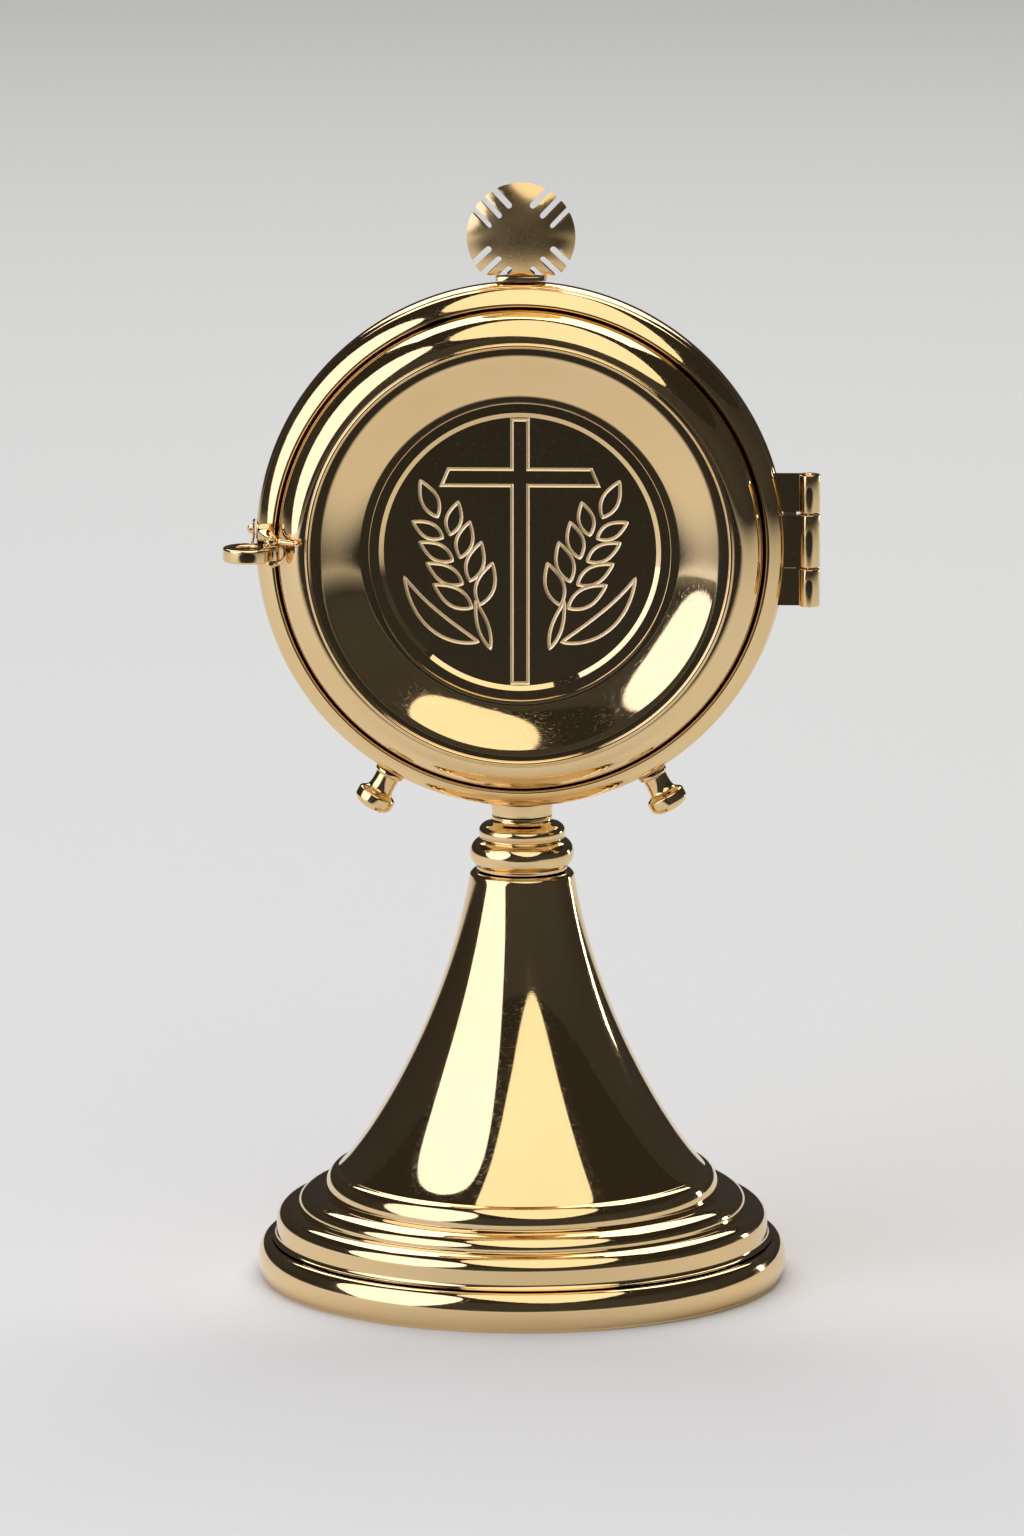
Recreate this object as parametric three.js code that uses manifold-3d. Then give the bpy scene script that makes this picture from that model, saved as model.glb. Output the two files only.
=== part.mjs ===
// Lunette custodial: a round gilt case for a lunette, standing on a knop and a flared foot.
// Millimetres, +Z up, origin on the table under the foot's axis. The door faces -Y,
// its hinge is at +X and the ring catch at -X.

import * as THREE from 'three';
import { mergeVertices } from 'three/addons/utils/BufferGeometryUtils.js';
import Module from 'manifold-3d';

const wasm = await Module();
wasm.setup();

// Clearances
const SEAT_GAP = 0.3;        // between a piece and the piece that carries it
const RUNNING_GAP = 0.06;    // radial, round a pin that something turns on
const BOLT_GAP = 0.4;        // radial, round the tie rod

// Sheet metal
const FOOT_SHEET = 1.2;
const CASE_SHEET = 1.2;
const DOOR_SHEET = 1.0;

// Foot, from the table up
const CONE_BASE_RADIUS = 35.0;
const SHOULDER_WIDTH = 2.4;
const STEP_TREAD = 1.2;
const STEP_ROLL_WIDTH = 4.0;
const EDGE_WIDTH = 3.0;
const RIM_PROJECTION = 3.5;
const RIM_HEIGHT = 7.4;
const RIM_SECTION = 5.6;
const WALL_HEIGHT = 3.3;
const EDGE_HEIGHT = 2.7;
const STEP_RISE = 0.5;
const STEP_ROLL_HEIGHT = 2.6;
const SHOULDER_HEIGHT = 3.6;
const CONE_HEIGHT = 57.7;
const CONE_TOP_RADIUS = 9.9;
const CONE_STEEPNESS = 28.0;  // length over which the neck end of the cone stays steep
const CONE_NECK_FLARE = 4.5;
const CONE_FOOT_FLARE = 5.4;

// Knop and collar
const KNOP_HEIGHT = 10.3;
const KNOP_SEAT_RADIUS = 9.1;
const KNOP_ROLL_RADIUS = 9.9;
const KNOP_WAIST_RADIUS = 7.0;
const KNOP_BULGE_RADIUS = 7.7;
const NECK_RADIUS = 5.7;
const COLLAR_HEIGHT = 5.6;
const COLLAR_FLARE = 2.2;

// Tie rod
const ROD_RADIUS = 2.5;
const ROD_TAIL = 3.0;
const WASHER_DROP = 19.0;
const WASHER_THICKNESS = 1.6;
const WASHER_DISH = 1.4;
const NUT_ACROSS = 4.6;       // centre to corner
const NUT_HEIGHT = 4.0;

// Case
const CASE_RADIUS = 47.4;
const CASE_DEPTH = 25.0;
const PARTING_Y = -9.15;
const PARTING_GAP = 0.3;
const BACK_EDGE = 6.0;
const BACK_STEP_RADIUS = 34.0;
const BACK_STEP_HEIGHT = 1.3;
const BAND_WIDTH = 5.6;
const BAND_THICKNESS = 2.3;
const MOUTH_RING_THICKNESS = 0.9;
const MOUTH_RING_STAND = 0.7;
const MOUTH_RING_DEPTH = 3.0;

// Cradle in the case, sized for the lunette's rim
const LUNETTE_RADIUS = 37.5;
const LUNETTE_RIM = 4.2;
const CRADLE_WALL = 1.2;
const CRADLE_DEPTH = 2.6;
const CRADLE_OPENING = 21.0;  // below the case centre, where the channel's arms end
const CRADLE_BLOCK = 8.0;

// Door, radii from its centre and depths in front of the parting plane
const OUTER_ROLL_RADIUS = 1.85;
const OUTER_ROLL_OVERHANG = 2.2;
const OUTER_ROLL_DEPTH = 2.45;
const INNER_ROLL_WIDTH = 5.65;
const INNER_ROLL_HEIGHT = 7.9;
const BEAD_RADIUS = 0.45;
const DISH_WIDTH = 10.1;
const DISH_DEPTH = 2.9;
const LIP_WIDTH = 0.95;
const LIP_STEP = 0.4;
const LIP_THICKNESS = 0.5;
const ROUNDEL_THICKNESS = 1.2;
const ROUNDEL_BORDER = 2.75;
const ROUNDEL_STEP = 0.45;
const RETAINER_THICKNESS = 0.9;
const RETAINER_WIDTH = 3.4;

// Hinge
const HINGE_STANDOFF = 4.3;   // from the band to the pin's axis
const HINGE_LIFT = 1.45;
const KNUCKLE_RADIUS = 2.0;
const HINGE_PIN_RADIUS = 0.8;
const KNUCKLE_UPPER = 7.2;
const KNUCKLE_MIDDLE = 10.0;
const KNUCKLE_LOWER = 7.1;
const KNUCKLE_GAP = 0.4;
const LEAF_THICKNESS = 1.0;
const LEAF_SPLIT = 0.25;

// Catch
const CATCH_LIFT = 0.3;
const CATCH_PIVOT_IN = 3.0;   // from the door's outer edge to the pivot
const CATCH_PIVOT_OUT = 4.9;  // from the outer roll's crest to the pivot
const CATCH_PIN_RADIUS = 0.6;
const CATCH_KNUCKLE_RADIUS = 1.35;
const CATCH_EAR_THICKNESS = 1.2;
const RING_RADIUS = 4.6;
const RING_HOLE_RADIUS = 1.6;
const RING_THICKNESS = 2.5;
const RING_OUT = 4.4;
const RING_FORWARD = 1.4;
const ARM_THICKNESS = 0.9;
const ARM_OUT = 0.4;          // from the band to the arm
const ARM_RISE = 2.2;         // from the ring's middle up to the stud
const PRONG_HEIGHT = 0.8;
const STUD_RADIUS = 0.85;
const STUD_STAND = 0.3;       // past the arm
const PRONG_GAP = 0.1;
const PRONG_REACH = 1.7;
const FINGER_RADIUS = 0.5;
const FINGER_BALL_RADIUS = 0.62;
const FINGER_REACH = 5.4;
const FINGER_FALL = 0.2;
const FINGER_FORWARD = 2.0;
const PLATE_WIDTH = 2.4;
const PLATE_HEIGHT = 3.0;
const PLATE_THICKNESS = 1.0;
const PLATE_LIFT = 3.3;
const RIVET_RADIUS = 0.75;

// Knobs
const KNOB_ANGLE = 29.4;      // degrees from the lowest point of the case
const KNOB_FLANGE_RADIUS = 2.5;
const KNOB_FLANGE = 1.0;
const KNOB_NECK_RADIUS = 2.0;
const KNOB_NECK = 2.9;
const KNOB_HEAD_RADIUS = 3.5;
const KNOB_FLARE = 1.5;
const KNOB_BAND = 1.7;
const KNOB_CROWN = 1.0;

// Finial
const FINIAL_RADIUS = 10.3;
const FINIAL_THICKNESS = 1.5;
const FINIAL_SEAT = 7.3;      // from the disc's centre down to its flat foot
const SLOT_WIDTH = 1.15;
const SLOT_PITCH = 2.7;
const SLOT_START = 5.3;
const FINIAL_BASE_LENGTH = 9.6;
const FINIAL_BASE_WIDTH = 3.6;
const FINIAL_BASE_HEIGHT = 0.7;

// Facets round a full turn
const LARGE_TURN = 40;
const MEDIUM_TURN = 24;
const SMALL_TURN = 12;

// Heights and places that follow from the sizes
const shellBase = RIM_HEIGHT + SEAT_GAP;
const wallTop = shellBase + WALL_HEIGHT;
const edgeTop = wallTop + EDGE_HEIGHT;
const rollFoot = edgeTop + STEP_RISE;
const rollTop = rollFoot + STEP_ROLL_HEIGHT;
const shoulderFoot = rollTop + STEP_RISE;
const coneBase = shoulderFoot + SHOULDER_HEIGHT;
const coneTop = coneBase + CONE_HEIGHT;
const shoulderRadius = CONE_BASE_RADIUS + SHOULDER_WIDTH;
const rollRadius = shoulderRadius + STEP_TREAD + STEP_ROLL_WIDTH;
const drumRadius = rollRadius + STEP_TREAD + EDGE_WIDTH;
const footRadius = drumRadius + RIM_PROJECTION;
const knopBase = coneTop + SEAT_GAP;
const collarBase = knopBase + KNOP_HEIGHT + SEAT_GAP;
const caseCentre = collarBase + COLLAR_HEIGHT + CASE_RADIUS;
const boreRadius = ROD_RADIUS + BOLT_GAP;
const bodyFront = PARTING_Y + PARTING_GAP / 2;
const doorBack = PARTING_Y - PARTING_GAP / 2;
const bodyBack = bodyFront + CASE_DEPTH;
const bandY = bodyFront + BAND_WIDTH / 2;
const bandInner = CASE_RADIUS + SEAT_GAP;
const bandRadius = bandInner + BAND_THICKNESS;
const doorRadius = CASE_RADIUS + OUTER_ROLL_OVERHANG;
const rollCentreRadius = doorRadius - OUTER_ROLL_RADIUS;
const rollCentreY = PARTING_Y - OUTER_ROLL_DEPTH;
const valleyRadius = rollCentreRadius - OUTER_ROLL_RADIUS;
const beadRadius = valleyRadius - INNER_ROLL_WIDTH - BEAD_RADIUS;
const beadY = rollCentreY - INNER_ROLL_HEIGHT;
const dishRadius = beadRadius - BEAD_RADIUS - DISH_WIDTH;
const dishY = beadY + DISH_DEPTH;
const lipRadius = dishRadius - LIP_WIDTH;
const roundelStepRadius = dishRadius - ROUNDEL_BORDER;
const lipBack = dishY + LIP_STEP + LIP_THICKNESS;
const roundelY = lipBack + SEAT_GAP;
const doorInner = rollCentreRadius - DOOR_SHEET;
const hingeX = bandRadius + HINGE_STANDOFF;
const hingeHeight = KNUCKLE_UPPER + KNUCKLE_MIDDLE + KNUCKLE_LOWER + 2 * KNUCKLE_GAP;
const hingeFoot = caseCentre + HINGE_LIFT - hingeHeight / 2;
const hingeMiddle = hingeFoot + KNUCKLE_LOWER + KNUCKLE_GAP;
const hingeUpper = hingeMiddle + KNUCKLE_MIDDLE + KNUCKLE_GAP;
const pivotX = -(doorRadius - CATCH_PIVOT_IN);
const pivotY = rollCentreY - OUTER_ROLL_RADIUS - CATCH_PIVOT_OUT;
const catchZ = caseCentre + CATCH_LIFT;
const studZ = catchZ + ARM_RISE;
const armX = -(bandRadius + ARM_OUT + ARM_THICKNESS / 2);
const rodAnchor = caseCentre - CASE_RADIUS + CASE_SHEET + SEAT_GAP;
const finialBaseTop = caseCentre + bandRadius + SEAT_GAP + FINIAL_BASE_HEIGHT;

// Closes a geometry: shared corners are merged, flat triangles dropped, faces turned out.
function closed(geometry) {
  const bare = new THREE.BufferGeometry();
  bare.setAttribute('position', geometry.getAttribute('position').clone());
  if (geometry.index) bare.setIndex(geometry.index.clone());
  const merged = mergeVertices(bare, 1e-4);
  const position = merged.getAttribute('position');
  const corners = [0, 1, 2].map(() => new THREE.Vector3());
  const index = [];
  let volume = 0;
  for (let i = 0; i < merged.index.count; i += 3) {
    const face = [0, 1, 2].map((k) => merged.index.getX(i + k));
    if (new Set(face).size < 3) continue;
    index.push(...face);
    corners.forEach((corner, k) => corner.fromBufferAttribute(position, face[k]));
    volume += corners[0].dot(corners[1].cross(corners[2]));
  }
  if (volume < 0) index.reverse();
  merged.setIndex(index);
  return merged;
}

function toSolid(geometry) {
  const body = closed(geometry);
  return new wasm.Manifold(new wasm.Mesh({
    numProp: 3,
    vertProperties: new Float32Array(body.getAttribute('position').array),
    triVerts: new Uint32Array(body.index.array),
  }));
}

function toGeometry(solid) {
  const mesh = solid.getMesh();
  const geometry = new THREE.BufferGeometry();
  geometry.setAttribute('position', new THREE.BufferAttribute(mesh.vertProperties, 3));
  geometry.setIndex(new THREE.BufferAttribute(mesh.triVerts, 1));
  return geometry;
}

const join = (...parts) => toGeometry(parts.map(toSolid).reduce((a, b) => a.add(b)));
const cut = (whole, ...tools) => toGeometry(tools.map(toSolid)
  .reduce((rest, tool) => rest.subtract(tool), toSolid(whole)));

const point = (x, y) => new THREE.Vector2(x, y);

// Points of an elliptical arc; angles in degrees, anticlockwise from +x.
function arc(x, y, rx, ry, from, to, steps) {
  const turn = Math.PI / 180;
  const curve = new THREE.EllipseCurve(x, y, rx, ry, from * turn, to * turn, to < from);
  return curve.getPoints(steps);
}

// The other side of a sheet whose one side is the given line; a positive thickness lies to
// the left of the line. Points that would fall nearer than the thickness are left out.
function otherSide(line, thickness) {
  const offset = line.map((at, i) => {
    const before = line[Math.max(i - 1, 0)];
    const after = line[Math.min(i + 1, line.length - 1)];
    const along = after.clone().sub(before).normalize();
    return point(at.x - along.y * thickness, at.y + along.x * thickness);
  });
  const nearest = point(0, 0);
  return offset.filter((at) => line.slice(1).every((end, i) => {
    const segment = new THREE.Line3(
      new THREE.Vector3(line[i].x, line[i].y, 0),
      new THREE.Vector3(end.x, end.y, 0),
    );
    const foot = segment.closestPointToPoint(new THREE.Vector3(at.x, at.y, 0), true,
      new THREE.Vector3());
    nearest.set(foot.x, foot.y);
    return nearest.distanceTo(at) > Math.abs(thickness) * 0.9;
  }));
}

// Turned round +Y: profile points are (radius, y). An open profile starts and ends on the axis.
function turned(profile, steps) {
  return closed(new THREE.LatheGeometry(profile, steps));
}

const ringOf = (profile, steps) => turned([...profile, profile[0]], steps);

// Turned round +Z: profile points are (radius, z).
const upright = (geometry) => geometry.rotateX(Math.PI / 2);

const tube = (outer, inner, low, high, steps) => ringOf([
  point(inner, low),
  point(outer, low),
  point(outer, high),
  point(inner, high),
], steps);

function box(x0, x1, y0, y1, z0, z1) {
  const geometry = new THREE.BoxGeometry(x1 - x0, y1 - y0, z1 - z0);
  return geometry.translate((x0 + x1) / 2, (y0 + y1) / 2, (z0 + z1) / 2);
}

function rodBetween(start, end, radius) {
  const along = end.clone().sub(start);
  const geometry = new THREE.CylinderGeometry(radius, radius, along.length(), SMALL_TURN);
  const turn = new THREE.Quaternion();
  turn.setFromUnitVectors(new THREE.Vector3(0, 1, 0), along.clone().normalize());
  geometry.applyQuaternion(turn);
  return geometry.translate(...start.clone().add(end).multiplyScalar(0.5).toArray());
}

const ball = (at, radius) => new THREE.SphereGeometry(radius, SMALL_TURN, SMALL_TURN / 2)
  .translate(at.x, at.y, at.z);

// Outer line of the cone, from its top edge down to the shoulder: a cubic that starts
// steep at the neck and flares at the foot.
function coneLine(steps) {
  const top = coneTop - FOOT_SHEET / 2;
  return new THREE.CubicBezierCurve(
    point(CONE_TOP_RADIUS, top),
    point(CONE_TOP_RADIUS + CONE_NECK_FLARE, top - CONE_STEEPNESS),
    point(CONE_BASE_RADIUS - CONE_FOOT_FLARE, coneBase + EDGE_HEIGHT * 2),
    point(CONE_BASE_RADIUS, coneBase),
  ).getPoints(steps);
}

// Radius of the cone's inner face at a height, between the two line points beside it.
function coneInside(height) {
  const line = otherSide(coneLine(40), -FOOT_SHEET);
  const below = line.findIndex((at) => at.y < height);
  const [high, low] = [line[below - 1], line[below]];
  return THREE.MathUtils.mapLinear(height, low.y, high.y, low.x, high.x);
}

function footShell() {
  const cone = coneLine(10);
  const drumInner = drumRadius - FOOT_SHEET;
  const inside = otherSide(coneLine(5), -FOOT_SHEET)
    .filter((at) => at.y < coneTop - FOOT_SHEET * 2);
  const ledge = FOOT_SHEET * 0.8;
  const profile = [
    point(boreRadius, coneTop),
    point(CONE_TOP_RADIUS - FOOT_SHEET / 2, coneTop),
    ...cone,
    ...arc(CONE_BASE_RADIUS, shoulderFoot, SHOULDER_WIDTH, SHOULDER_HEIGHT, 90, 0, 3).slice(1),
    point(shoulderRadius, rollTop),
    ...arc(shoulderRadius + STEP_TREAD, rollFoot, STEP_ROLL_WIDTH, STEP_ROLL_HEIGHT, 90, 0, 3),
    point(rollRadius, edgeTop),
    ...arc(rollRadius + STEP_TREAD, wallTop, EDGE_WIDTH, EDGE_HEIGHT, 90, 0, 3),
    ...arc(drumRadius + ledge, shellBase + ledge, ledge, ledge, 180, 270, 2),
    point(drumInner, shellBase),
    point(drumInner, wallTop),
    point(CONE_BASE_RADIUS, coneBase - FOOT_SHEET - SHOULDER_HEIGHT),
    ...inside.reverse(),
    point(CONE_TOP_RADIUS - FOOT_SHEET, coneTop - FOOT_SHEET),
    point(boreRadius, coneTop - FOOT_SHEET),
  ];
  return upright(ringOf(profile, LARGE_TURN));
}

function footRim() {
  const flat = RIM_HEIGHT * 0.06;
  const crownY = RIM_HEIGHT * 0.46;
  const shelf = RIM_PROJECTION * 0.55;
  const profile = [
    point(footRadius - RIM_SECTION, 0),
    point(footRadius - flat * 2, 0),
    ...arc(footRadius - shelf, crownY, shelf, crownY, -60, 0, 3),
    ...arc(footRadius - shelf, crownY, shelf, RIM_HEIGHT - crownY, 0, 90, 4).slice(1),
    point(footRadius - RIM_SECTION, RIM_HEIGHT),
  ];
  return upright(ringOf(profile, LARGE_TURN));
}

function knop() {
  const rollZ = knopBase + KNOP_HEIGHT * 0.3;
  const rollHalf = KNOP_HEIGHT * 0.17;
  const waistZ = knopBase + KNOP_HEIGHT * 0.56;
  const bulgeZ = knopBase + KNOP_HEIGHT * 0.71;
  const bulgeHalf = KNOP_HEIGHT * 0.12;
  const top = knopBase + KNOP_HEIGHT;
  const rollDepth = KNOP_ROLL_RADIUS - KNOP_SEAT_RADIUS;
  const bulgeDepth = KNOP_BULGE_RADIUS - KNOP_WAIST_RADIUS;
  const profile = [
    point(boreRadius, knopBase),
    point(KNOP_SEAT_RADIUS, knopBase),
    ...arc(KNOP_SEAT_RADIUS, rollZ, rollDepth, rollHalf, -90, 90, 6),
    point(KNOP_WAIST_RADIUS, waistZ),
    ...arc(KNOP_WAIST_RADIUS, bulgeZ, bulgeDepth, bulgeHalf, -90, 90, 5),
    point(NECK_RADIUS, top - KNOP_HEIGHT * 0.08),
    point(NECK_RADIUS, top),
    point(boreRadius, top),
  ];
  return upright(ringOf(profile, MEDIUM_TURN));
}

// A cylinder along Y on the case's axis, for hollowing what seats on its round wall.
function barrel(radius, front, back) {
  return turned([
    point(0, front),
    point(radius, front),
    point(radius, back),
    point(0, back),
  ], LARGE_TURN * 2).translate(0, 0, caseCentre);
}

const caseWall = (radius) => barrel(radius, bodyFront - CASE_DEPTH, bodyBack + CASE_DEPTH);

function collar() {
  const top = collarBase + COLLAR_HEIGHT + COLLAR_FLARE;
  const flare = new THREE.QuadraticBezierCurve(
    point(NECK_RADIUS, collarBase),
    point(NECK_RADIUS, collarBase + COLLAR_HEIGHT / 2),
    point(NECK_RADIUS + COLLAR_FLARE, collarBase + COLLAR_HEIGHT),
  ).getPoints(5);
  const blank = upright(ringOf([
    point(boreRadius, collarBase),
    ...flare,
    point(NECK_RADIUS + COLLAR_FLARE, top),
    point(boreRadius, top),
  ], MEDIUM_TURN));
  const bandSeat = barrel(bandRadius + SEAT_GAP, bodyFront - BAND_WIDTH,
    bodyFront + BAND_WIDTH + SEAT_GAP);
  return cut(blank, caseWall(CASE_RADIUS + SEAT_GAP), bandSeat);
}

const washerTop = coneTop - WASHER_DROP;
const nutTop = washerTop - WASHER_THICKNESS - WASHER_DISH - SEAT_GAP;

function tieRod() {
  const low = nutTop - NUT_HEIGHT - ROD_TAIL;
  const high = rodAnchor + CRADLE_BLOCK * 0.6;
  const bevel = ROD_RADIUS * 0.2;
  return upright(turned([
    point(0, low),
    point(ROD_RADIUS - bevel, low),
    point(ROD_RADIUS, low + bevel),
    point(ROD_RADIUS, high - bevel),
    point(ROD_RADIUS - bevel, high),
    point(0, high),
  ], SMALL_TURN));
}

function cupWasher() {
  const radius = coneInside(washerTop) - SEAT_GAP;
  const hub = NUT_ACROSS + WASHER_THICKNESS;
  return upright(ringOf([
    point(boreRadius, washerTop - WASHER_DISH - WASHER_THICKNESS),
    point(hub, washerTop - WASHER_DISH - WASHER_THICKNESS),
    point(radius, washerTop - WASHER_THICKNESS),
    point(radius, washerTop),
    point(hub, washerTop - WASHER_DISH),
    point(boreRadius, washerTop - WASHER_DISH),
  ], MEDIUM_TURN));
}

function footNut() {
  const hexagon = new THREE.Shape();
  hexagon.absarc(0, 0, NUT_ACROSS, 0, Math.PI * 2);
  const outline = new THREE.Shape(hexagon.getSpacedPoints(6).slice(0, 6));
  const hole = new THREE.Path().absarc(0, 0, boreRadius, 0, Math.PI * 2);
  outline.holes.push(hole);
  const nut = new THREE.ExtrudeGeometry(outline, {
    depth: NUT_HEIGHT,
    bevelEnabled: false,
    curveSegments: SMALL_TURN,
  });
  return closed(nut.translate(0, 0, nutTop - NUT_HEIGHT));
}

function caseBody() {
  const inner = CASE_RADIUS - CASE_SHEET;
  const stepY = bodyBack - BACK_STEP_HEIGHT;
  const outside = [
    point(0, bodyBack),
    point(BACK_STEP_RADIUS, bodyBack),
    ...arc(BACK_STEP_RADIUS, stepY, BACK_STEP_HEIGHT, BACK_STEP_HEIGHT, 90, 0, 3).slice(1),
    ...arc(CASE_RADIUS - BACK_EDGE, stepY - BACK_EDGE, BACK_EDGE, BACK_EDGE, 90, 0, 4),
    point(CASE_RADIUS, bodyFront),
  ];
  const insideEdge = BACK_EDGE - CASE_SHEET;
  const inside = [
    point(inner, bodyFront),
    ...arc(inner - insideEdge, stepY - BACK_EDGE, insideEdge, insideEdge, 0, 90, 3),
    point(BACK_STEP_RADIUS - CASE_SHEET, stepY - CASE_SHEET),
    point(BACK_STEP_RADIUS - CASE_SHEET * 2, bodyBack - CASE_SHEET),
    point(0, bodyBack - CASE_SHEET),
  ];
  const cup = turned([...outside, ...inside], LARGE_TURN).translate(0, 0, caseCentre);
  const drill = new THREE.CylinderGeometry(boreRadius, boreRadius, CASE_RADIUS, SMALL_TURN)
    .rotateX(Math.PI / 2)
    .translate(0, 0, caseCentre - CASE_RADIUS);
  return cut(cup, drill);
}

function caseBand() {
  const back = bodyFront + BAND_WIDTH;
  const crown = BAND_THICKNESS * 0.55;
  return ringOf([
    point(bandInner, back),
    ...arc(bandRadius - crown, bandY, crown, BAND_WIDTH / 2, 90, -90, 5),
    point(bandInner, bodyFront),
  ], LARGE_TURN).translate(0, 0, caseCentre);
}

// Rebated ring: its rear seats in the case wall, its front stands inside the door's edge.
function mouthRing() {
  const seat = CASE_RADIUS - CASE_SHEET - SEAT_GAP;
  const stand = Math.min(seat, doorInner - SEAT_GAP);
  const front = doorBack - MOUTH_RING_STAND;
  const rebate = bodyFront + PARTING_GAP;
  return ringOf([
    point(stand - MOUTH_RING_THICKNESS, front),
    point(stand, front),
    point(stand, rebate),
    point(seat, rebate),
    point(seat, bodyFront + MOUTH_RING_DEPTH),
    point(stand - MOUTH_RING_THICKNESS, bodyFront + MOUTH_RING_DEPTH),
  ], LARGE_TURN).translate(0, 0, caseCentre);
}

// U channel that the lunette's rim drops into, on a tapped block over the tie rod.
function lunetteCradle() {
  const half = LUNETTE_RIM / 2;
  const side = half + CRADLE_WALL;
  const outer = LUNETTE_RADIUS + CRADLE_WALL;
  const inner = LUNETTE_RADIUS - CRADLE_DEPTH;
  const channel = ringOf([
    point(outer, -side),
    point(outer, side),
    point(inner, side),
    point(inner, half),
    point(LUNETTE_RADIUS, half),
    point(LUNETTE_RADIUS, -half),
    point(inner, -half),
    point(inner, -side),
  ], LARGE_TURN).translate(0, 0, caseCentre);
  const upper = box(-outer * 2, outer * 2, -side * 2, side * 2,
    caseCentre - CRADLE_OPENING, caseCentre + outer * 2);
  const wide = CRADLE_BLOCK / 2;
  const block = box(-wide, wide, -side, side, rodAnchor - CRADLE_WALL,
    caseCentre - LUNETTE_RADIUS - CRADLE_WALL / 2);
  const foot = toGeometry(toSolid(block)
    .intersect(toSolid(caseWall(CASE_RADIUS - CASE_SHEET - SEAT_GAP))));
  const bore = new THREE.CylinderGeometry(boreRadius, boreRadius, CRADLE_BLOCK * 2, SMALL_TURN)
    .rotateX(Math.PI / 2)
    .translate(0, 0, rodAnchor + CRADLE_BLOCK * 0.65 - CRADLE_BLOCK);
  return cut(join(cut(channel, upper), foot), bore);
}

function knob() {
  const flangeEnd = KNOB_FLANGE;
  const neckEnd = flangeEnd + KNOB_NECK;
  const headStart = neckEnd + KNOB_FLARE;
  const headEnd = headStart + KNOB_BAND;
  const flareWidth = KNOB_HEAD_RADIUS - KNOB_NECK_RADIUS;
  return turned([
    point(0, 0),
    point(KNOB_FLANGE_RADIUS, 0),
    point(KNOB_FLANGE_RADIUS, flangeEnd),
    point(KNOB_NECK_RADIUS, flangeEnd),
    ...arc(KNOB_HEAD_RADIUS, neckEnd, flareWidth, KNOB_FLARE, 180, 90, 3),
    point(KNOB_HEAD_RADIUS, headEnd),
    ...arc(0, headEnd, KNOB_HEAD_RADIUS, KNOB_CROWN, 0, 90, 3).slice(1),
  ], SMALL_TURN);
}

// Outer line of the door from its back edge over the outer roll, the valley, the inner
// roll and the bead, then down the dish to the lip round the roundel.
function doorLine(fine) {
  const innerRoll = arc(beadRadius + BEAD_RADIUS, rollCentreY, INNER_ROLL_WIDTH,
    INNER_ROLL_HEIGHT - BEAD_RADIUS, 0, -90, fine * 2);
  const dish = new THREE.CubicBezierCurve(
    point(beadRadius - BEAD_RADIUS, beadY + BEAD_RADIUS),
    point(beadRadius - BEAD_RADIUS - DISH_WIDTH * 0.12, dishY - DISH_DEPTH * 0.1),
    point(dishRadius + DISH_WIDTH * 0.45, dishY),
    point(dishRadius, dishY),
  ).getPoints(fine * 2);
  return [
    point(rollCentreRadius, doorBack),
    ...arc(rollCentreRadius, rollCentreY, OUTER_ROLL_RADIUS, OUTER_ROLL_RADIUS, 60, -165,
      fine * 2 + 2),
    ...innerRoll,
    ...arc(beadRadius, beadY + BEAD_RADIUS, BEAD_RADIUS, BEAD_RADIUS, -45, -135, 1),
    ...dish,
    point(dishRadius, dishY + LIP_STEP),
    point(lipRadius, dishY + LIP_STEP),
  ];
}

function doorShell() {
  const back = otherSide(doorLine(2), -DOOR_SHEET)
    .filter((at) => at.x > dishRadius + DOOR_SHEET && at.x < doorInner);
  return ringOf([
    ...doorLine(3),
    point(lipRadius, lipBack),
    point(dishRadius + DOOR_SHEET, lipBack),
    ...back.reverse(),
    point(doorInner, rollCentreY + DOOR_SHEET),
    point(doorInner, doorBack),
  ], LARGE_TURN).translate(0, 0, caseCentre);
}

function roundel() {
  const back = roundelY + ROUNDEL_THICKNESS;
  const rim = lipRadius + LIP_WIDTH;
  const slope = ROUNDEL_STEP * 2;
  return turned([
    point(0, roundelY + ROUNDEL_STEP),
    point(roundelStepRadius - slope, roundelY + ROUNDEL_STEP),
    point(roundelStepRadius, roundelY),
    point(rim, roundelY),
    point(rim, back),
    point(0, back),
  ], LARGE_TURN).translate(0, 0, caseCentre);
}

function retainer() {
  const front = roundelY + ROUNDEL_THICKNESS + SEAT_GAP;
  const outer = lipRadius + LIP_WIDTH;
  return tube(outer, outer - RETAINER_WIDTH, front, front + RETAINER_THICKNESS, LARGE_TURN)
    .translate(0, 0, caseCentre);
}

function knuckle(low, height) {
  return upright(tube(KNUCKLE_RADIUS, HINGE_PIN_RADIUS + RUNNING_GAP, low, low + height,
    SMALL_TURN)).translate(hingeX, PARTING_Y, 0);
}

function hingePinHole() {
  const radius = HINGE_PIN_RADIUS + RUNNING_GAP;
  return upright(turned([
    point(0, hingeFoot - KNUCKLE_RADIUS),
    point(radius, hingeFoot - KNUCKLE_RADIUS),
    point(radius, hingeFoot + hingeHeight + KNUCKLE_RADIUS),
    point(0, hingeFoot + hingeHeight + KNUCKLE_RADIUS),
  ], SMALL_TURN)).translate(hingeX, PARTING_Y, 0);
}

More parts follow.
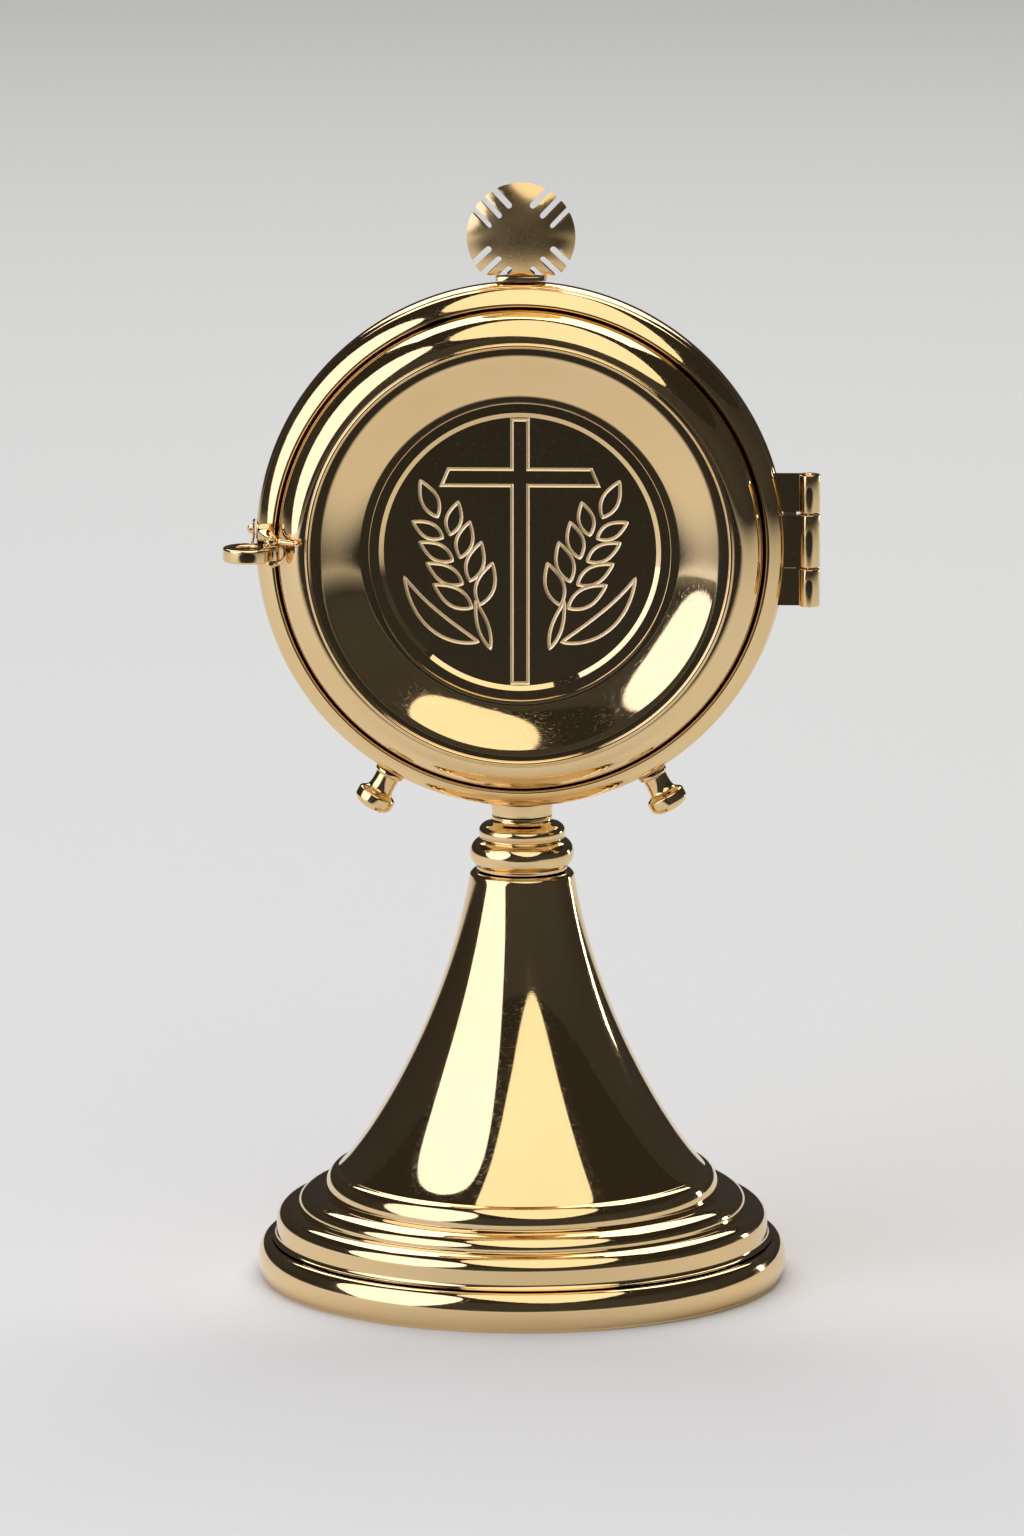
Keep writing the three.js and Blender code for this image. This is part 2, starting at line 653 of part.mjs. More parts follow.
// Case leaf: the outer knuckles on one plate that seats on the band behind the parting plane.
function hingeLeafCase() {
  const plate = box(bandRadius * 0.94, hingeX, PARTING_Y + LEAF_SPLIT,
    PARTING_Y + LEAF_SPLIT + LEAF_THICKNESS, hingeFoot, hingeFoot + hingeHeight);
  const reach = KNUCKLE_RADIUS + KNUCKLE_GAP;
  const window = box(hingeX - reach, hingeX + reach, PARTING_Y - reach, PARTING_Y + reach,
    hingeMiddle - KNUCKLE_GAP, hingeUpper);
  const seated = cut(plate, window, caseWall(bandRadius + SEAT_GAP));
  const both = join(seated, knuckle(hingeFoot, KNUCKLE_LOWER), knuckle(hingeUpper, KNUCKLE_UPPER));
  return cut(both, hingePinHole());
}

// Door leaf: the middle knuckle, its plate seated on the door's outer roll.
function hingeLeafDoor() {
  const back = PARTING_Y - LEAF_SPLIT;
  const plate = box(rollCentreRadius, hingeX, back - LEAF_THICKNESS, back,
    hingeMiddle, hingeMiddle + KNUCKLE_MIDDLE);
  const seated = cut(plate, caseWall(doorRadius - OUTER_ROLL_RADIUS * 0.2 + SEAT_GAP));
  return cut(join(seated, knuckle(hingeMiddle, KNUCKLE_MIDDLE)), hingePinHole());
}

function hingePin() {
  const head = HINGE_PIN_RADIUS * 0.4;
  const low = hingeFoot - head;
  const high = hingeFoot + hingeHeight + head;
  return upright(turned([
    point(0, low),
    point(HINGE_PIN_RADIUS - head, low),
    point(HINGE_PIN_RADIUS, hingeFoot),
    point(HINGE_PIN_RADIUS, high - head),
    point(HINGE_PIN_RADIUS - head, high),
    point(0, high),
  ], SMALL_TURN)).translate(hingeX, PARTING_Y, 0);
}

function catchPinHole() {
  const radius = CATCH_PIN_RADIUS + RUNNING_GAP;
  return new THREE.CylinderGeometry(radius, radius, RING_THICKNESS * 4, SMALL_TURN)
    .rotateX(Math.PI / 2)
    .translate(pivotX, pivotY, catchZ);
}

const earLow = catchZ - RING_THICKNESS / 2 - SEAT_GAP;
const earHigh = catchZ + RING_THICKNESS / 2 + SEAT_GAP;

// Bracket on the door: riveted plate on the outer roll, a strut to the upper ear, the curl
// that carries the lower ear, and the ball-ended finger across the inner roll.
function catchBracket() {
  const ear = (low) => upright(turned([
    point(0, low),
    point(CATCH_KNUCKLE_RADIUS, low),
    point(CATCH_KNUCKLE_RADIUS, low + CATCH_EAR_THICKNESS),
    point(0, low + CATCH_EAR_THICKNESS),
  ], SMALL_TURN)).translate(pivotX, pivotY, 0);
  const upper = new THREE.Vector3(pivotX, pivotY, earHigh + CATCH_EAR_THICKNESS / 2);
  const lower = new THREE.Vector3(pivotX, pivotY, earLow - CATCH_EAR_THICKNESS / 2);
  const plateY = rollCentreY - OUTER_ROLL_RADIUS - SEAT_GAP;
  const plateX = -rollCentreRadius;
  const plateZ = catchZ + PLATE_LIFT;
  const plate = box(plateX - PLATE_WIDTH / 2, plateX + PLATE_WIDTH / 2,
    plateY - PLATE_THICKNESS, plateY, plateZ - PLATE_HEIGHT / 2, plateZ + PLATE_HEIGHT / 2);
  const plateCentre = new THREE.Vector3(plateX, plateY - PLATE_THICKNESS / 2, plateZ);
  const rivet = ball(new THREE.Vector3(plateX, plateY - PLATE_THICKNESS, plateZ), RIVET_RADIUS);
  const strut = rodBetween(plateCentre, upper, FINGER_RADIUS * 1.4);
  const tip = upper.clone().add(new THREE.Vector3(FINGER_REACH, -FINGER_FORWARD,
    -FINGER_FALL));
  const finger = rodBetween(upper, tip, FINGER_RADIUS);
  const half = (upper.z - lower.z) / 2;
  const curlLine = new THREE.CatmullRomCurve3([-90, -45, 0, 45, 90].map((degrees) => {
    const angle = degrees * Math.PI / 180;
    const out = CATCH_KNUCKLE_RADIUS + FINGER_RADIUS;
    return new THREE.Vector3(pivotX + CATCH_KNUCKLE_RADIUS * 0.5 + out * Math.cos(angle),
      pivotY, (upper.z + lower.z) / 2 + half * Math.sin(angle));
  }));
  const section = new THREE.Shape().absarc(0, 0, FINGER_RADIUS, 0, Math.PI * 2);
  const curl = new THREE.ExtrudeGeometry(section, {
    steps: 8,
    curveSegments: 4,
    bevelEnabled: false,
    extrudePath: curlLine,
  });
  const whole = join(plate, rivet, strut, ear(earHigh), ear(earLow - CATCH_EAR_THICKNESS),
    curl, finger, ball(tip, FINGER_BALL_RADIUS));
  return cut(whole, catchPinHole());
}

function catchPin() {
  const low = earLow - CATCH_EAR_THICKNESS - SEAT_GAP;
  const high = earHigh + CATCH_EAR_THICKNESS + SEAT_GAP;
  return upright(turned([
    point(0, low),
    point(CATCH_PIN_RADIUS, low),
    point(CATCH_PIN_RADIUS, high),
    point(0, high),
  ], SMALL_TURN)).translate(pivotX, pivotY, 0);
}

// Lever: the finger ring round the pivot, with an arm back along the case whose two prongs
// straddle the stud and open to the rear.
function catchLever() {
  const half = RING_THICKNESS / 2;
  const round = half * 0.6;
  const ringX = pivotX - RING_OUT;
  const ringY = pivotY - RING_FORWARD;
  const edge = arc(RING_RADIUS - round, 0, round, half, -90, 90, 6);
  const ring = upright(ringOf([
    point(RING_HOLE_RADIUS, -half * 0.7),
    point(RING_HOLE_RADIUS + round / 2, -half),
    ...edge,
    point(RING_HOLE_RADIUS + round / 2, half),
    point(RING_HOLE_RADIUS, half * 0.7),
  ], MEDIUM_TURN)).translate(ringX, ringY, catchZ);
  const hub = new THREE.CylinderGeometry(CATCH_KNUCKLE_RADIUS, CATCH_KNUCKLE_RADIUS,
    RING_THICKNESS, SMALL_TURN).rotateX(Math.PI / 2).translate(pivotX, pivotY, catchZ);
  const gapHalf = STUD_RADIUS + PRONG_GAP;
  const armHalf = gapHalf + PRONG_HEIGHT;
  const armEnd = bandY + PRONG_REACH;
  const arm = box(armX - ARM_THICKNESS / 2, armX + ARM_THICKNESS / 2,
    ringY + RING_RADIUS - RING_THICKNESS, armEnd, studZ - armHalf, studZ + armHalf);
  const slot = box(armX - ARM_THICKNESS, armX + ARM_THICKNESS,
    bandY - gapHalf, armEnd + ARM_THICKNESS, studZ - gapHalf, studZ + gapHalf);
  return cut(join(ring, hub, arm), slot, catchPinHole());
}

function catchStud() {
  const seat = bandRadius + SEAT_GAP;
  const tip = -armX + ARM_THICKNESS / 2 + STUD_STAND;
  const dome = STUD_RADIUS / 2;
  return turned([
    point(0, seat),
    point(STUD_RADIUS, seat),
    ...arc(0, tip - dome, STUD_RADIUS, dome, 0, 90, 3),
  ], SMALL_TURN).rotateZ(Math.PI / 2).translate(0, bandY, studZ);
}

// Finial: a domed-edge disc with three slots sawn along each diagonal, flat at its foot.
function finialDisc() {
  const half = FINIAL_THICKNESS / 2;
  const centre = finialBaseTop + SEAT_GAP + FINIAL_SEAT;
  const blank = turned([
    point(0, -half),
    ...arc(FINIAL_RADIUS - half, 0, half, half, -90, 90, 3),
    point(0, half),
  ], LARGE_TURN);
  const slot = new THREE.Shape();
  slot.moveTo(FINIAL_RADIUS * 1.2, SLOT_WIDTH / 2);
  slot.lineTo(SLOT_START + SLOT_WIDTH / 2, SLOT_WIDTH / 2);
  slot.absarc(SLOT_START + SLOT_WIDTH / 2, 0, SLOT_WIDTH / 2, Math.PI / 2, Math.PI * 1.5);
  slot.lineTo(FINIAL_RADIUS * 1.2, -SLOT_WIDTH / 2);
  const slots = [45, 135, 225, 315].flatMap((degrees) => [-1, 0, 1].map((row) => {
    const tool = new THREE.ExtrudeGeometry(slot, {
      depth: FINIAL_THICKNESS * 2,
      bevelEnabled: false,
      curveSegments: 4,
    });
    tool.translate(0, row * SLOT_PITCH, -FINIAL_THICKNESS);
    return tool.rotateZ(degrees * Math.PI / 180).rotateX(Math.PI / 2);
  }));
  const foot = box(-FINIAL_RADIUS, FINIAL_RADIUS, -FINIAL_THICKNESS, FINIAL_THICKNESS,
    -FINIAL_RADIUS * 1.2, -FINIAL_SEAT);
  return cut(blank, ...slots, foot).translate(0, bandY, centre);
}

function finialBase() {
  const bottom = caseCentre + bandRadius - FINIAL_BASE_LENGTH / 4;
  const blank = new THREE.CylinderGeometry(1, 1, finialBaseTop - bottom, MEDIUM_TURN)
    .rotateX(Math.PI / 2)
    .scale(FINIAL_BASE_LENGTH / 2, FINIAL_BASE_WIDTH / 2, 1)
    .translate(0, bandY, (finialBaseTop + bottom) / 2);
  return cut(blank, caseWall(bandRadius + SEAT_GAP));
}

const gilt = { color: 0xc9a24f, roughness: 0.12, metalness: 1 };
const satin = { color: 0xd6b25a, roughness: 0.3, metalness: 1 };
const bare = { color: 0xa8843c, roughness: 0.35, metalness: 1 };

const custodial = new THREE.Group();

function add(name, geometry, finish) {
  const mesh = new THREE.Mesh(closed(geometry), new THREE.MeshStandardMaterial(finish));
  mesh.name = name;
  custodial.add(mesh);
  return mesh;
}

add('foot_rim', footRim(), gilt);
add('foot_shell', footShell(), gilt);
add('cup_washer', cupWasher(), bare);
add('foot_nut', footNut(), bare);
add('tie_rod', tieRod(), bare);
add('knop', knop(), gilt);
add('collar', collar(), gilt);
add('case_body', caseBody(), gilt);
add('case_band', caseBand(), gilt);
add('mouth_ring', mouthRing(), gilt);
add('lunette_cradle', lunetteCradle(), satin);
add('finial_base', finialBase(), gilt);
add('finial_disc', finialDisc(), satin);
add('hinge_leaf_case', hingeLeafCase(), gilt);
add('hinge_pin', hingePin(), gilt);
add('catch_stud', catchStud(), gilt);
add('door_shell', doorShell(), gilt);
add('door_roundel', roundel(), gilt);
add('roundel_retainer', retainer(), bare);
add('hinge_leaf_door', hingeLeafDoor(), gilt);
add('catch_bracket', catchBracket(), gilt);
add('catch_pin', catchPin(), gilt);
add('catch_lever', catchLever(), gilt);

for (const [side, sign] of [['left', -1], ['right', 1]]) {
  const mesh = add(`knob_${side}`, knob(), gilt);
  const angle = KNOB_ANGLE * Math.PI / 180;
  const reach = bandRadius + SEAT_GAP;
  const out = new THREE.Vector3(sign * Math.sin(angle), 0, -Math.cos(angle));
  mesh.quaternion.setFromUnitVectors(new THREE.Vector3(0, 1, 0), out);
  mesh.position.set(0, bandY, caseCentre).addScaledVector(out, reach);
}

export default custodial;
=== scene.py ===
"""Lunette custodial: the turned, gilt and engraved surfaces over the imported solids."""

import bmesh
import bpy
import numpy as np
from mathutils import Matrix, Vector
from mathutils.geometry import delaunay_2d_cdt


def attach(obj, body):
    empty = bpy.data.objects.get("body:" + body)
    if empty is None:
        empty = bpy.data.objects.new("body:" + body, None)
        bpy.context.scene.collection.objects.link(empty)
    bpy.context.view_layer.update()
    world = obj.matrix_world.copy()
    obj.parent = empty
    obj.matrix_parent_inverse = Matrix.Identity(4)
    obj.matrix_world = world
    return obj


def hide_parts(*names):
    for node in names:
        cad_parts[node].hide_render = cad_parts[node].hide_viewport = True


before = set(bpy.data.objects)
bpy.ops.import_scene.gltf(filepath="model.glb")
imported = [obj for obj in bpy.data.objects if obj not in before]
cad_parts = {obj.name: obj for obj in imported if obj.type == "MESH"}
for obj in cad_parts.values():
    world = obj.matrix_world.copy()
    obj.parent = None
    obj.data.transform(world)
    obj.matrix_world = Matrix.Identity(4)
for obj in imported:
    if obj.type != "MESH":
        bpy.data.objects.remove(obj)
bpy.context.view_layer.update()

bl_info = {
    "name": "Lunette Custodial",
    "version": (1, 0, 0),
    "blender": (4, 5, 0),
    "location": "View3D > Sidebar > Custodial",
    "description": "Builds a standing gilt case for a lunette over its packed solids",
    "category": "Add Mesh",
}

MM = 0.001

# Sizes in millimetres. A profile is (radius, height) for a piece turned round the foot's
# axis and (radius, depth) for one turned round the case's axis; the door faces -Y.
SEAM = 0.3
FOOT_SHEET = 1.2
BORE = 2.9
RIM_RADIUS = 50.3
RIM_HEIGHT = 7.4
SHELL_BASE = 7.7
WALL_TOP = 11.0
EDGE_TOP = 13.7
ROLL_FOOT = 14.2
ROLL_TOP = 16.8
SHOULDER_FOOT = 17.3
CONE_BASE = 20.9
CONE_TOP = 78.6
ROD_LOW = 49.3
ROD_HIGH = 101.4
NUT_BASE = 56.3
WASHER_BASE = 56.6
WASHER_EDGE = 58.0
SHOULDER_RADIUS = 37.4
ROLL_RADIUS = 42.6
DRUM_RADIUS = 46.8
KNOP_BASE = 78.9
KNOP_HEIGHT = 10.3
COLLAR_BASE = 89.5
NECK_RADIUS = 5.7
CASE_CENTRE = 142.5
CASE_RADIUS = 47.4
CASE_SHEET = 1.2
CASE_FRONT = -9.0
CASE_BACK = 16.0
BAND_INNER = 47.7
BAND_RADIUS = 50.0
BAND_Y = -6.2
BAND_HALF = 2.8
PARTING_Y = -9.15
DOOR_BACK = -9.3
DOOR_SHEET = 1.0
ROLL_CENTRE_RADIUS = 47.75
ROLL_CENTRE_Y = -11.6
ROLL_TUBE = 1.85
BEAD_CENTRE_RADIUS = 39.8
BEAD_TUBE = 0.45
BEAD_Y = -19.5
INNER_ROLL_WIDTH = 5.65
DISH_RADIUS = 29.25
DISH_Y = -16.6
LIP_RADIUS = 28.3
ROUNDEL_Y = -15.4
ROUNDEL_BACK = -14.2
FIELD_RADIUS = 25.6
FIELD_Y = -14.95
RETAINER_FRONT = -13.9
RETAINER_BACK = -13.0
LUNETTE_RADIUS = 37.5
CRADLE_HALF = 2.1
CRADLE_WALL = 1.2
CRADLE_REACH = 21.001
HINGE_X = 54.3
HINGE_LOW = 131.4
HINGE_HIGH = 156.5
HINGE_MIDDLE = (138.9, 148.9)
KNUCKLE_RADIUS = 2.0
PIVOT = (-46.6, -18.35)
CATCH_Z = 142.8
STUD_Z = 145.0
FINIAL_RADIUS = 10.2
FINIAL_CENTRE = 201.1
FINIAL_FOOT = 7.3
FINIAL_SEAT = 193.5
KNOB_ANGLE = 29.4
DARK_PATCH_AWAY = 1050.0
DARK_PATCH_EDGE = (560.0, 810.0)

# Camera in metres and degrees, its focal length in pixels of the tall frame
CAMERA_AWAY = 2.4
CAMERA_UP = 0.57121
CAMERA_ROUND = 1.5
CAMERA_DOWN = 11.15
FOCAL_PIXELS = 12906.72
FRAME_WIDTH, FRAME_HEIGHT = 1024, 1536
AXIS_PIXEL = 522.0


def length(name, description, default, low, high):
    """Property for a length, its values given in millimetres."""
    return bpy.props.FloatProperty(
        name=name, description=description, default=default * MM, min=low * MM,
        max=high * MM, precision=5, unit="LENGTH", subtype="DISTANCE")


def tint(name, description, default):
    """Property for a colour."""
    return bpy.props.FloatVectorProperty(
        name=name, description=description, size=3, min=0.0, max=1.0, default=default,
        subtype="COLOR")


class CustodialSizes(bpy.types.PropertyGroup):
    """Sizes that a maker would change."""

    turn_steps: bpy.props.IntProperty(
        name="Turn Steps", description="Facets round a full turn of the large pieces",
        default=224, min=48, max=360)
    edge_round: length("Edge Round", "Radius worn onto the edges of the turned pieces",
                       0.22, 0.0, 1.0)
    line_width: length("Line Width", "Width of an engraved line on the roundel",
                       0.64, 0.2, 1.5)
    line_depth: length("Line Depth", "Depth of an engraved line on the roundel",
                       0.24, 0.05, 0.5)
    slot_width: length("Slot Width", "Width of the slots sawn in the finial", 1.15, 0.5, 2.0)
    wave_depth: length("Wave Depth", "Depth of the slow waves that spinning leaves",
                       0.02, 0.0, 0.2)


class CustodialColours(bpy.types.PropertyGroup):
    """Colours of the finishes and of the stage."""

    gilt: tint("Gilt", "Gold plate, polished", (0.88, 0.66, 0.36))
    gilt_deep: tint("Deep Gilt", "Gold plate where it is thicker and warmer",
                    (0.82, 0.58, 0.285))
    engraved: tint("Engraved Line", "Frosted gold in the engraved lines", (0.98, 0.85, 0.6))
    brass: tint("Bare Brass", "Unplated brass of the inner pieces", (0.62, 0.46, 0.23))
    floor: tint("Floor", "Pale paper of the floor and backdrop", (0.8, 0.8, 0.81))
    dark_card: tint("Dark Card", "Dark patch of the floor in front", (0.03, 0.03, 0.033))


def sizes():
    """The sizes as the scene holds them."""
    return bpy.context.scene.custodial_sizes


def colours():
    """The colours as the scene holds them."""
    return bpy.context.scene.custodial_colours


# Lines and profiles

def arc(x, y, rx, ry, start, end, count=14):
    """Centre plus the radii times the cosine and sine of an angle that runs evenly from
    start to end, in degrees."""
    angle = np.radians(np.linspace(start, end, count))
    return np.stack([x + rx * np.cos(angle), y + ry * np.sin(angle)], axis=1)


def bezier(points, count):
    """Cubic: (1-t)^3 a + 3 (1-t)^2 t b + 3 (1-t) t^2 c + t^3 d, t even from 0 to 1."""
    t = np.linspace(0.0, 1.0, count)[:, None]
    a, b, c, d = np.asarray(points, float)
    return (1 - t) ** 3 * a + 3 * (1 - t) ** 2 * t * b + 3 * (1 - t) * t ** 2 * c + t ** 3 * d


def run(*pieces):
    """Points and curves one after the other, without points that repeat."""
    whole = np.concatenate([np.atleast_2d(np.asarray(piece, float)) for piece in pieces])
    step = np.linalg.norm(np.diff(whole, axis=0), axis=1)
    return whole[np.concatenate([[True], step > 1e-6])]


def eased(profile, radius, closed, sharpest=24.0, steps=4):
    """Each corner sharper than the limit becomes a quadratic from a point before it to one
    after it: (1-t)^2 p + 2 (1-t) t c + t^2 q, with p and q at the radius from corner c or
    at 0.45 of the shorter side."""
    before = np.roll(profile, 1, axis=0)
    after = np.roll(profile, -1, axis=0)
    back = before - profile
    ahead = after - profile
    back_length = np.linalg.norm(back, axis=1)
    ahead_length = np.linalg.norm(ahead, axis=1)
    back = back / np.maximum(back_length, 1e-9)[:, None]
    ahead = ahead / np.maximum(ahead_length, 1e-9)[:, None]
    turn = np.degrees(np.arccos(np.clip(-(back * ahead).sum(1), -1.0, 1.0)))
    reach = np.minimum(radius, 0.45 * np.minimum(back_length, ahead_length))
    reach = np.where(turn > sharpest, reach, 0.0)
    if not closed:
        reach[[0, -1]] = 0.0
    t = np.linspace(0.0, 1.0, steps)[None, :, None]
    start = (profile + back * reach[:, None])[:, None, :]
    end = (profile + ahead * reach[:, None])[:, None, :]
    corner = profile[:, None, :]
    points = (1 - t) ** 2 * start + 2 * (1 - t) * t * corner + t ** 2 * end
    return run(points.reshape(-1, 2))


def beside(line, distance):
    """The line moved sideways, to its left, by a distance, the same all along or one for
    each point: p + n d, with n square to the slope."""
    slope = np.gradient(line, axis=0)
    slope = slope / np.linalg.norm(slope, axis=1)[:, None]
    return line + np.stack([-slope[:, 1], slope[:, 0]], axis=1) * np.reshape(distance, (-1, 1))


# Grids of points made into closed shells: each shell is (points, quads and triangles)

def facing_out(points, faces):
    """Turns the faces round when the volume they hold, the sum of a . (b x c) / 6, is
    negative."""
    a, b, c = (points[faces[:, k]] for k in range(3))
    volume = (a * np.cross(b, c)).sum()
    quads = faces[faces[:, 3] != faces[:, 2]]
    a, b, c = (points[quads[:, k]] for k in (0, 2, 3))
    volume += (a * np.cross(b, c)).sum()
    return faces if volume > 0 else faces[:, [1, 0, 3, 2]]


def lattice(grid, wrap_rows, poles):
    """Faces between the rows of a grid that closes on itself along its columns. Rows in
    poles are one point, so the faces there are triangles."""
    rows, columns = grid.shape[:2]
    ids = np.arange(rows * columns).reshape(rows, columns)
    ids[list(poles)] = ids[list(poles), :1]
    row = np.arange(rows if wrap_rows else rows - 1)
    low, high = ids[row], ids[(row + 1) % rows]
    quads = np.stack([low, np.roll(low, -1, 1), np.roll(high, -1, 1), high], axis=-1)
    quads = quads.reshape(-1, 4)
    at_low = quads[:, 0] == quads[:, 1]
    quads[at_low] = quads[at_low][:, [0, 2, 3, 3]]
    at_high = (quads[:, 2] == quads[:, 3]) & ~at_low
    quads[at_high] = quads[at_high][:, [0, 1, 2, 2]]
    used, quads = np.unique(quads, return_inverse=True)
    points = grid.reshape(-1, 3)[used]
    return points, facing_out(points, quads.reshape(-1, 4))


def lathe(profile, steps, axis="Z"):
    """Turned shell. Round Z a point is (r cos a, r sin a, h); round the case's axis it is
    (r cos a, h, centre + r sin a), with (r, h) the profile and a the angle of the turn."""
    radius, height = profile.T
    radius = np.where(np.abs(radius) < 1e-6, 0.0, radius)
    angle = np.arange(steps) * 2 * np.pi / steps
    across = radius[:, None] * np.cos(angle)
    up = radius[:, None] * np.sin(angle)
    along = np.broadcast_to(height[:, None], across.shape)
    if axis == "Z":
        grid = np.stack([across, up, along], axis=-1)
    else:
        grid = np.stack([across, along, CASE_CENTRE + up], axis=-1)
    poles = tuple(end for end in (0, -1) if radius[end] == 0.0)
    return lattice(grid, not poles, poles)


def capped(grid):
    """Closes a grid with a fan of faces at each end, round the middle of its end row."""
    ends = np.broadcast_to(grid[[0, -1]].mean(axis=1, keepdims=True), (2, *grid.shape[1:]))
    return lattice(np.concatenate([ends[:1], grid, ends[1:]]), False, (0, -1))


def swept(path, radius, side):
    """Round bar along a flat path: p + r (n cos a + side sin a), n square to the path and to
    side. The radius runs to nothing at both ends."""
    path = np.asarray(path, float)
    side = np.asarray(side, float) / np.linalg.norm(side)
    normal = np.cross(np.gradient(path, axis=0), side)
    normal = normal / np.linalg.norm(normal, axis=1)[:, None]
    angle = np.arange(20) * np.pi / 10
    ring = normal[:, None, :] * np.cos(angle)[None, :, None]
    ring = ring + side[None, None, :] * np.sin(angle)[None, :, None]
    return lattice(path[:, None, :] + radius[:, None, None] * ring, False, (0, -1))


def ball_ended(start, end, thick, thin, head):
    """Round bar between two points. Its radius is thick sin a at the rounded start, runs
    evenly from thick to thin, and is head sin b round the ball at the far end."""
    start, end = np.asarray(start, float), np.asarray(end, float)
    reach = np.linalg.norm(end - start)
    meet = np.arcsin(thin / head)
    cap = np.linspace(0, np.pi / 2, 7)
    tip = np.linspace(meet, np.pi, 14)
    neck = reach - head - head * np.cos(meet)
    shaft = np.linspace(thick, neck, 12)[1:-1]
    along = np.concatenate([thick * (1 - np.cos(cap)), shaft,
                            reach - head - head * np.cos(tip)])
    taper = thick + (thin - thick) * (shaft - thick) / (neck - thick)
    radius = np.concatenate([thick * np.sin(cap), taper, head * np.sin(tip)])
    radius[[0, -1]] = 0.0
    return swept(start + (end - start) * (along / reach)[:, None], radius, (0, 0, 1))


def strip(path, across, half_width, half_thickness):
    """Strip along a path: p + w u a + t v n, with n square to the path and to the direction
    across, a square to both, and (u, v) a superellipse, the cosine and sine of the turn
    raised to the powers 0.35 and 0.6."""
    path = np.asarray(path, float)
    along = np.gradient(path, axis=0)
    along = along / np.linalg.norm(along, axis=1)[:, None]
    normal = np.cross(along, across)
    normal = normal / np.linalg.norm(normal, axis=1)[:, None]
    side = np.cross(normal, along) * half_width[:, None]
    turn = np.arange(24) * np.pi / 12
    u, v = (np.sign(wave) * np.abs(wave) ** power
            for wave, power in ((np.cos(turn), 0.35), (np.sin(turn), 0.6)))
    grid = path[:, None] + side[:, None] * u[None, :, None]
    return capped(grid + normal[:, None] * half_thickness * v[None, :, None])


def block(low, high, worn=0.15):
    """Box with rounded edges: c + s (h - r) + r n, with c the centre, h the half sizes, r
    the radius worn onto the edges, n a direction on the sphere and s its signs."""
    low, high = np.asarray(low, float), np.asarray(high, float)
    centre, half = (low + high) / 2, (high - low) / 2
    worn = min(worn, half.min() * 0.8)
    corner = np.linspace(0, np.pi / 2, 5)
    turn = np.concatenate([corner + quarter * np.pi / 2 for quarter in range(4)])
    sign_x = np.repeat([1, -1, -1, 1], 5)
    sign_y = np.repeat([1, 1, -1, -1], 5)
    lift = np.linspace(0, np.radians(82), 5)
    lift = np.concatenate([-lift[::-1], lift])
    sign_z = np.repeat([-1, 1], 5)
    flat = half - worn
    x = sign_x * flat[0] + worn * np.cos(lift)[:, None] * np.cos(turn)
    y = sign_y * flat[1] + worn * np.cos(lift)[:, None] * np.sin(turn)
    z = np.broadcast_to((sign_z * flat[2] + worn * np.sin(lift))[:, None], x.shape)
    return moved(capped(np.stack([x, y, z], axis=-1)), place=centre)


def moved(shell, turn=None, place=(0, 0, 0)):
    """The shell turned by a matrix, then carried to its place."""
    points, faces = shell
    if turn is not None:
        points = points @ np.asarray(turn, float).T
    return points + np.asarray(place, float), faces


def together(*shells):
    """Several shells in one mesh."""
    starts = np.cumsum([0] + [len(points) for points, _ in shells[:-1]])
    return (np.concatenate([points for points, _ in shells]),
            np.concatenate([faces + start for (_, faces), start in zip(shells, starts)]))


def flat_sheet(outlines, keep, inside_points):
    """Triangles of a flat figure whose lines are all edges of the mesh. keep says, for an
    array of points, which of them lie on the figure."""
    points = [np.asarray(inside_points, float)]
    edges = []
    count = len(inside_points)
    for outline in outlines:
        number = np.arange(len(outline))
        edges.append(np.stack([number, np.roll(number, -1)], axis=1) + count)
        points.append(outline)
        count += len(outline)
    points = np.concatenate(points)
    edges = np.concatenate(edges)
    result = delaunay_2d_cdt([Vector(p) for p in points], edges.tolist(), [], 0, 1e-5)
    flat = np.array([tuple(p) for p in result[0]])
    faces = np.array(result[2])
    middle = flat[faces].mean(axis=1)
    faces = faces[keep(middle)]
    used, faces = np.unique(faces, return_inverse=True)
    return flat[used], faces.reshape(-1, 3)


def solid(name, shell, finish, crease=33.0):
    """Object in metres, with smooth faces and edges sharper than the limit."""
    points, faces = shell
    if faces.shape[1] == 3:
        faces = faces[:, [0, 1, 2, 2]]
    triangle = faces[:, 2] == faces[:, 3]
    corners = [face[:3] if three else face for face, three in zip(faces.tolist(), triangle)]
    mesh = bpy.data.meshes.new(name)
    mesh.from_pydata((points * MM).tolist(), [], corners)
    mesh.materials.append(finish)
    mesh.shade_smooth()
    mesh.set_sharp_from_angle(angle=np.radians(crease))
    mesh.update()
    piece = bpy.data.objects.new(name, mesh)
    bpy.context.scene.collection.objects.link(piece)
    return piece


def put_together(name, shell, finish, body, node, crease=33.0):
    """Piece that takes a node's place and rides on its body."""
    piece = solid(name, shell, finish, crease)
    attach(piece, body)
    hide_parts(node)
    return piece


def turned(name, profile, steps, finish, body, node, ease=0.25, axis="Z",
           turn=None, place=(0, 0, 0)):
    """Piece turned from a profile with its corners eased, then set in its place. A profile
    that starts on the axis stays open there."""
    shell = lathe(eased(profile, ease, profile[0, 0] > 0), steps, axis)
    return put_together(name, moved(shell, turn, place), finish, body, node)


def walled(piece, thickness, worn):
    """Gives a flat sheet its thickness, to its back, and rounds its sharp edges."""
    wall = piece.modifiers.new("Thickness", "SOLIDIFY")
    wall.thickness = thickness * MM
    wall.offset = -1.0
    bevel = piece.modifiers.new("Worn edges", "BEVEL")
    bevel.width = worn * MM
    bevel.segments = 3
    bevel.limit_method = "ANGLE"
    bevel.angle_limit = np.radians(32)
    bevel.harden_normals = True


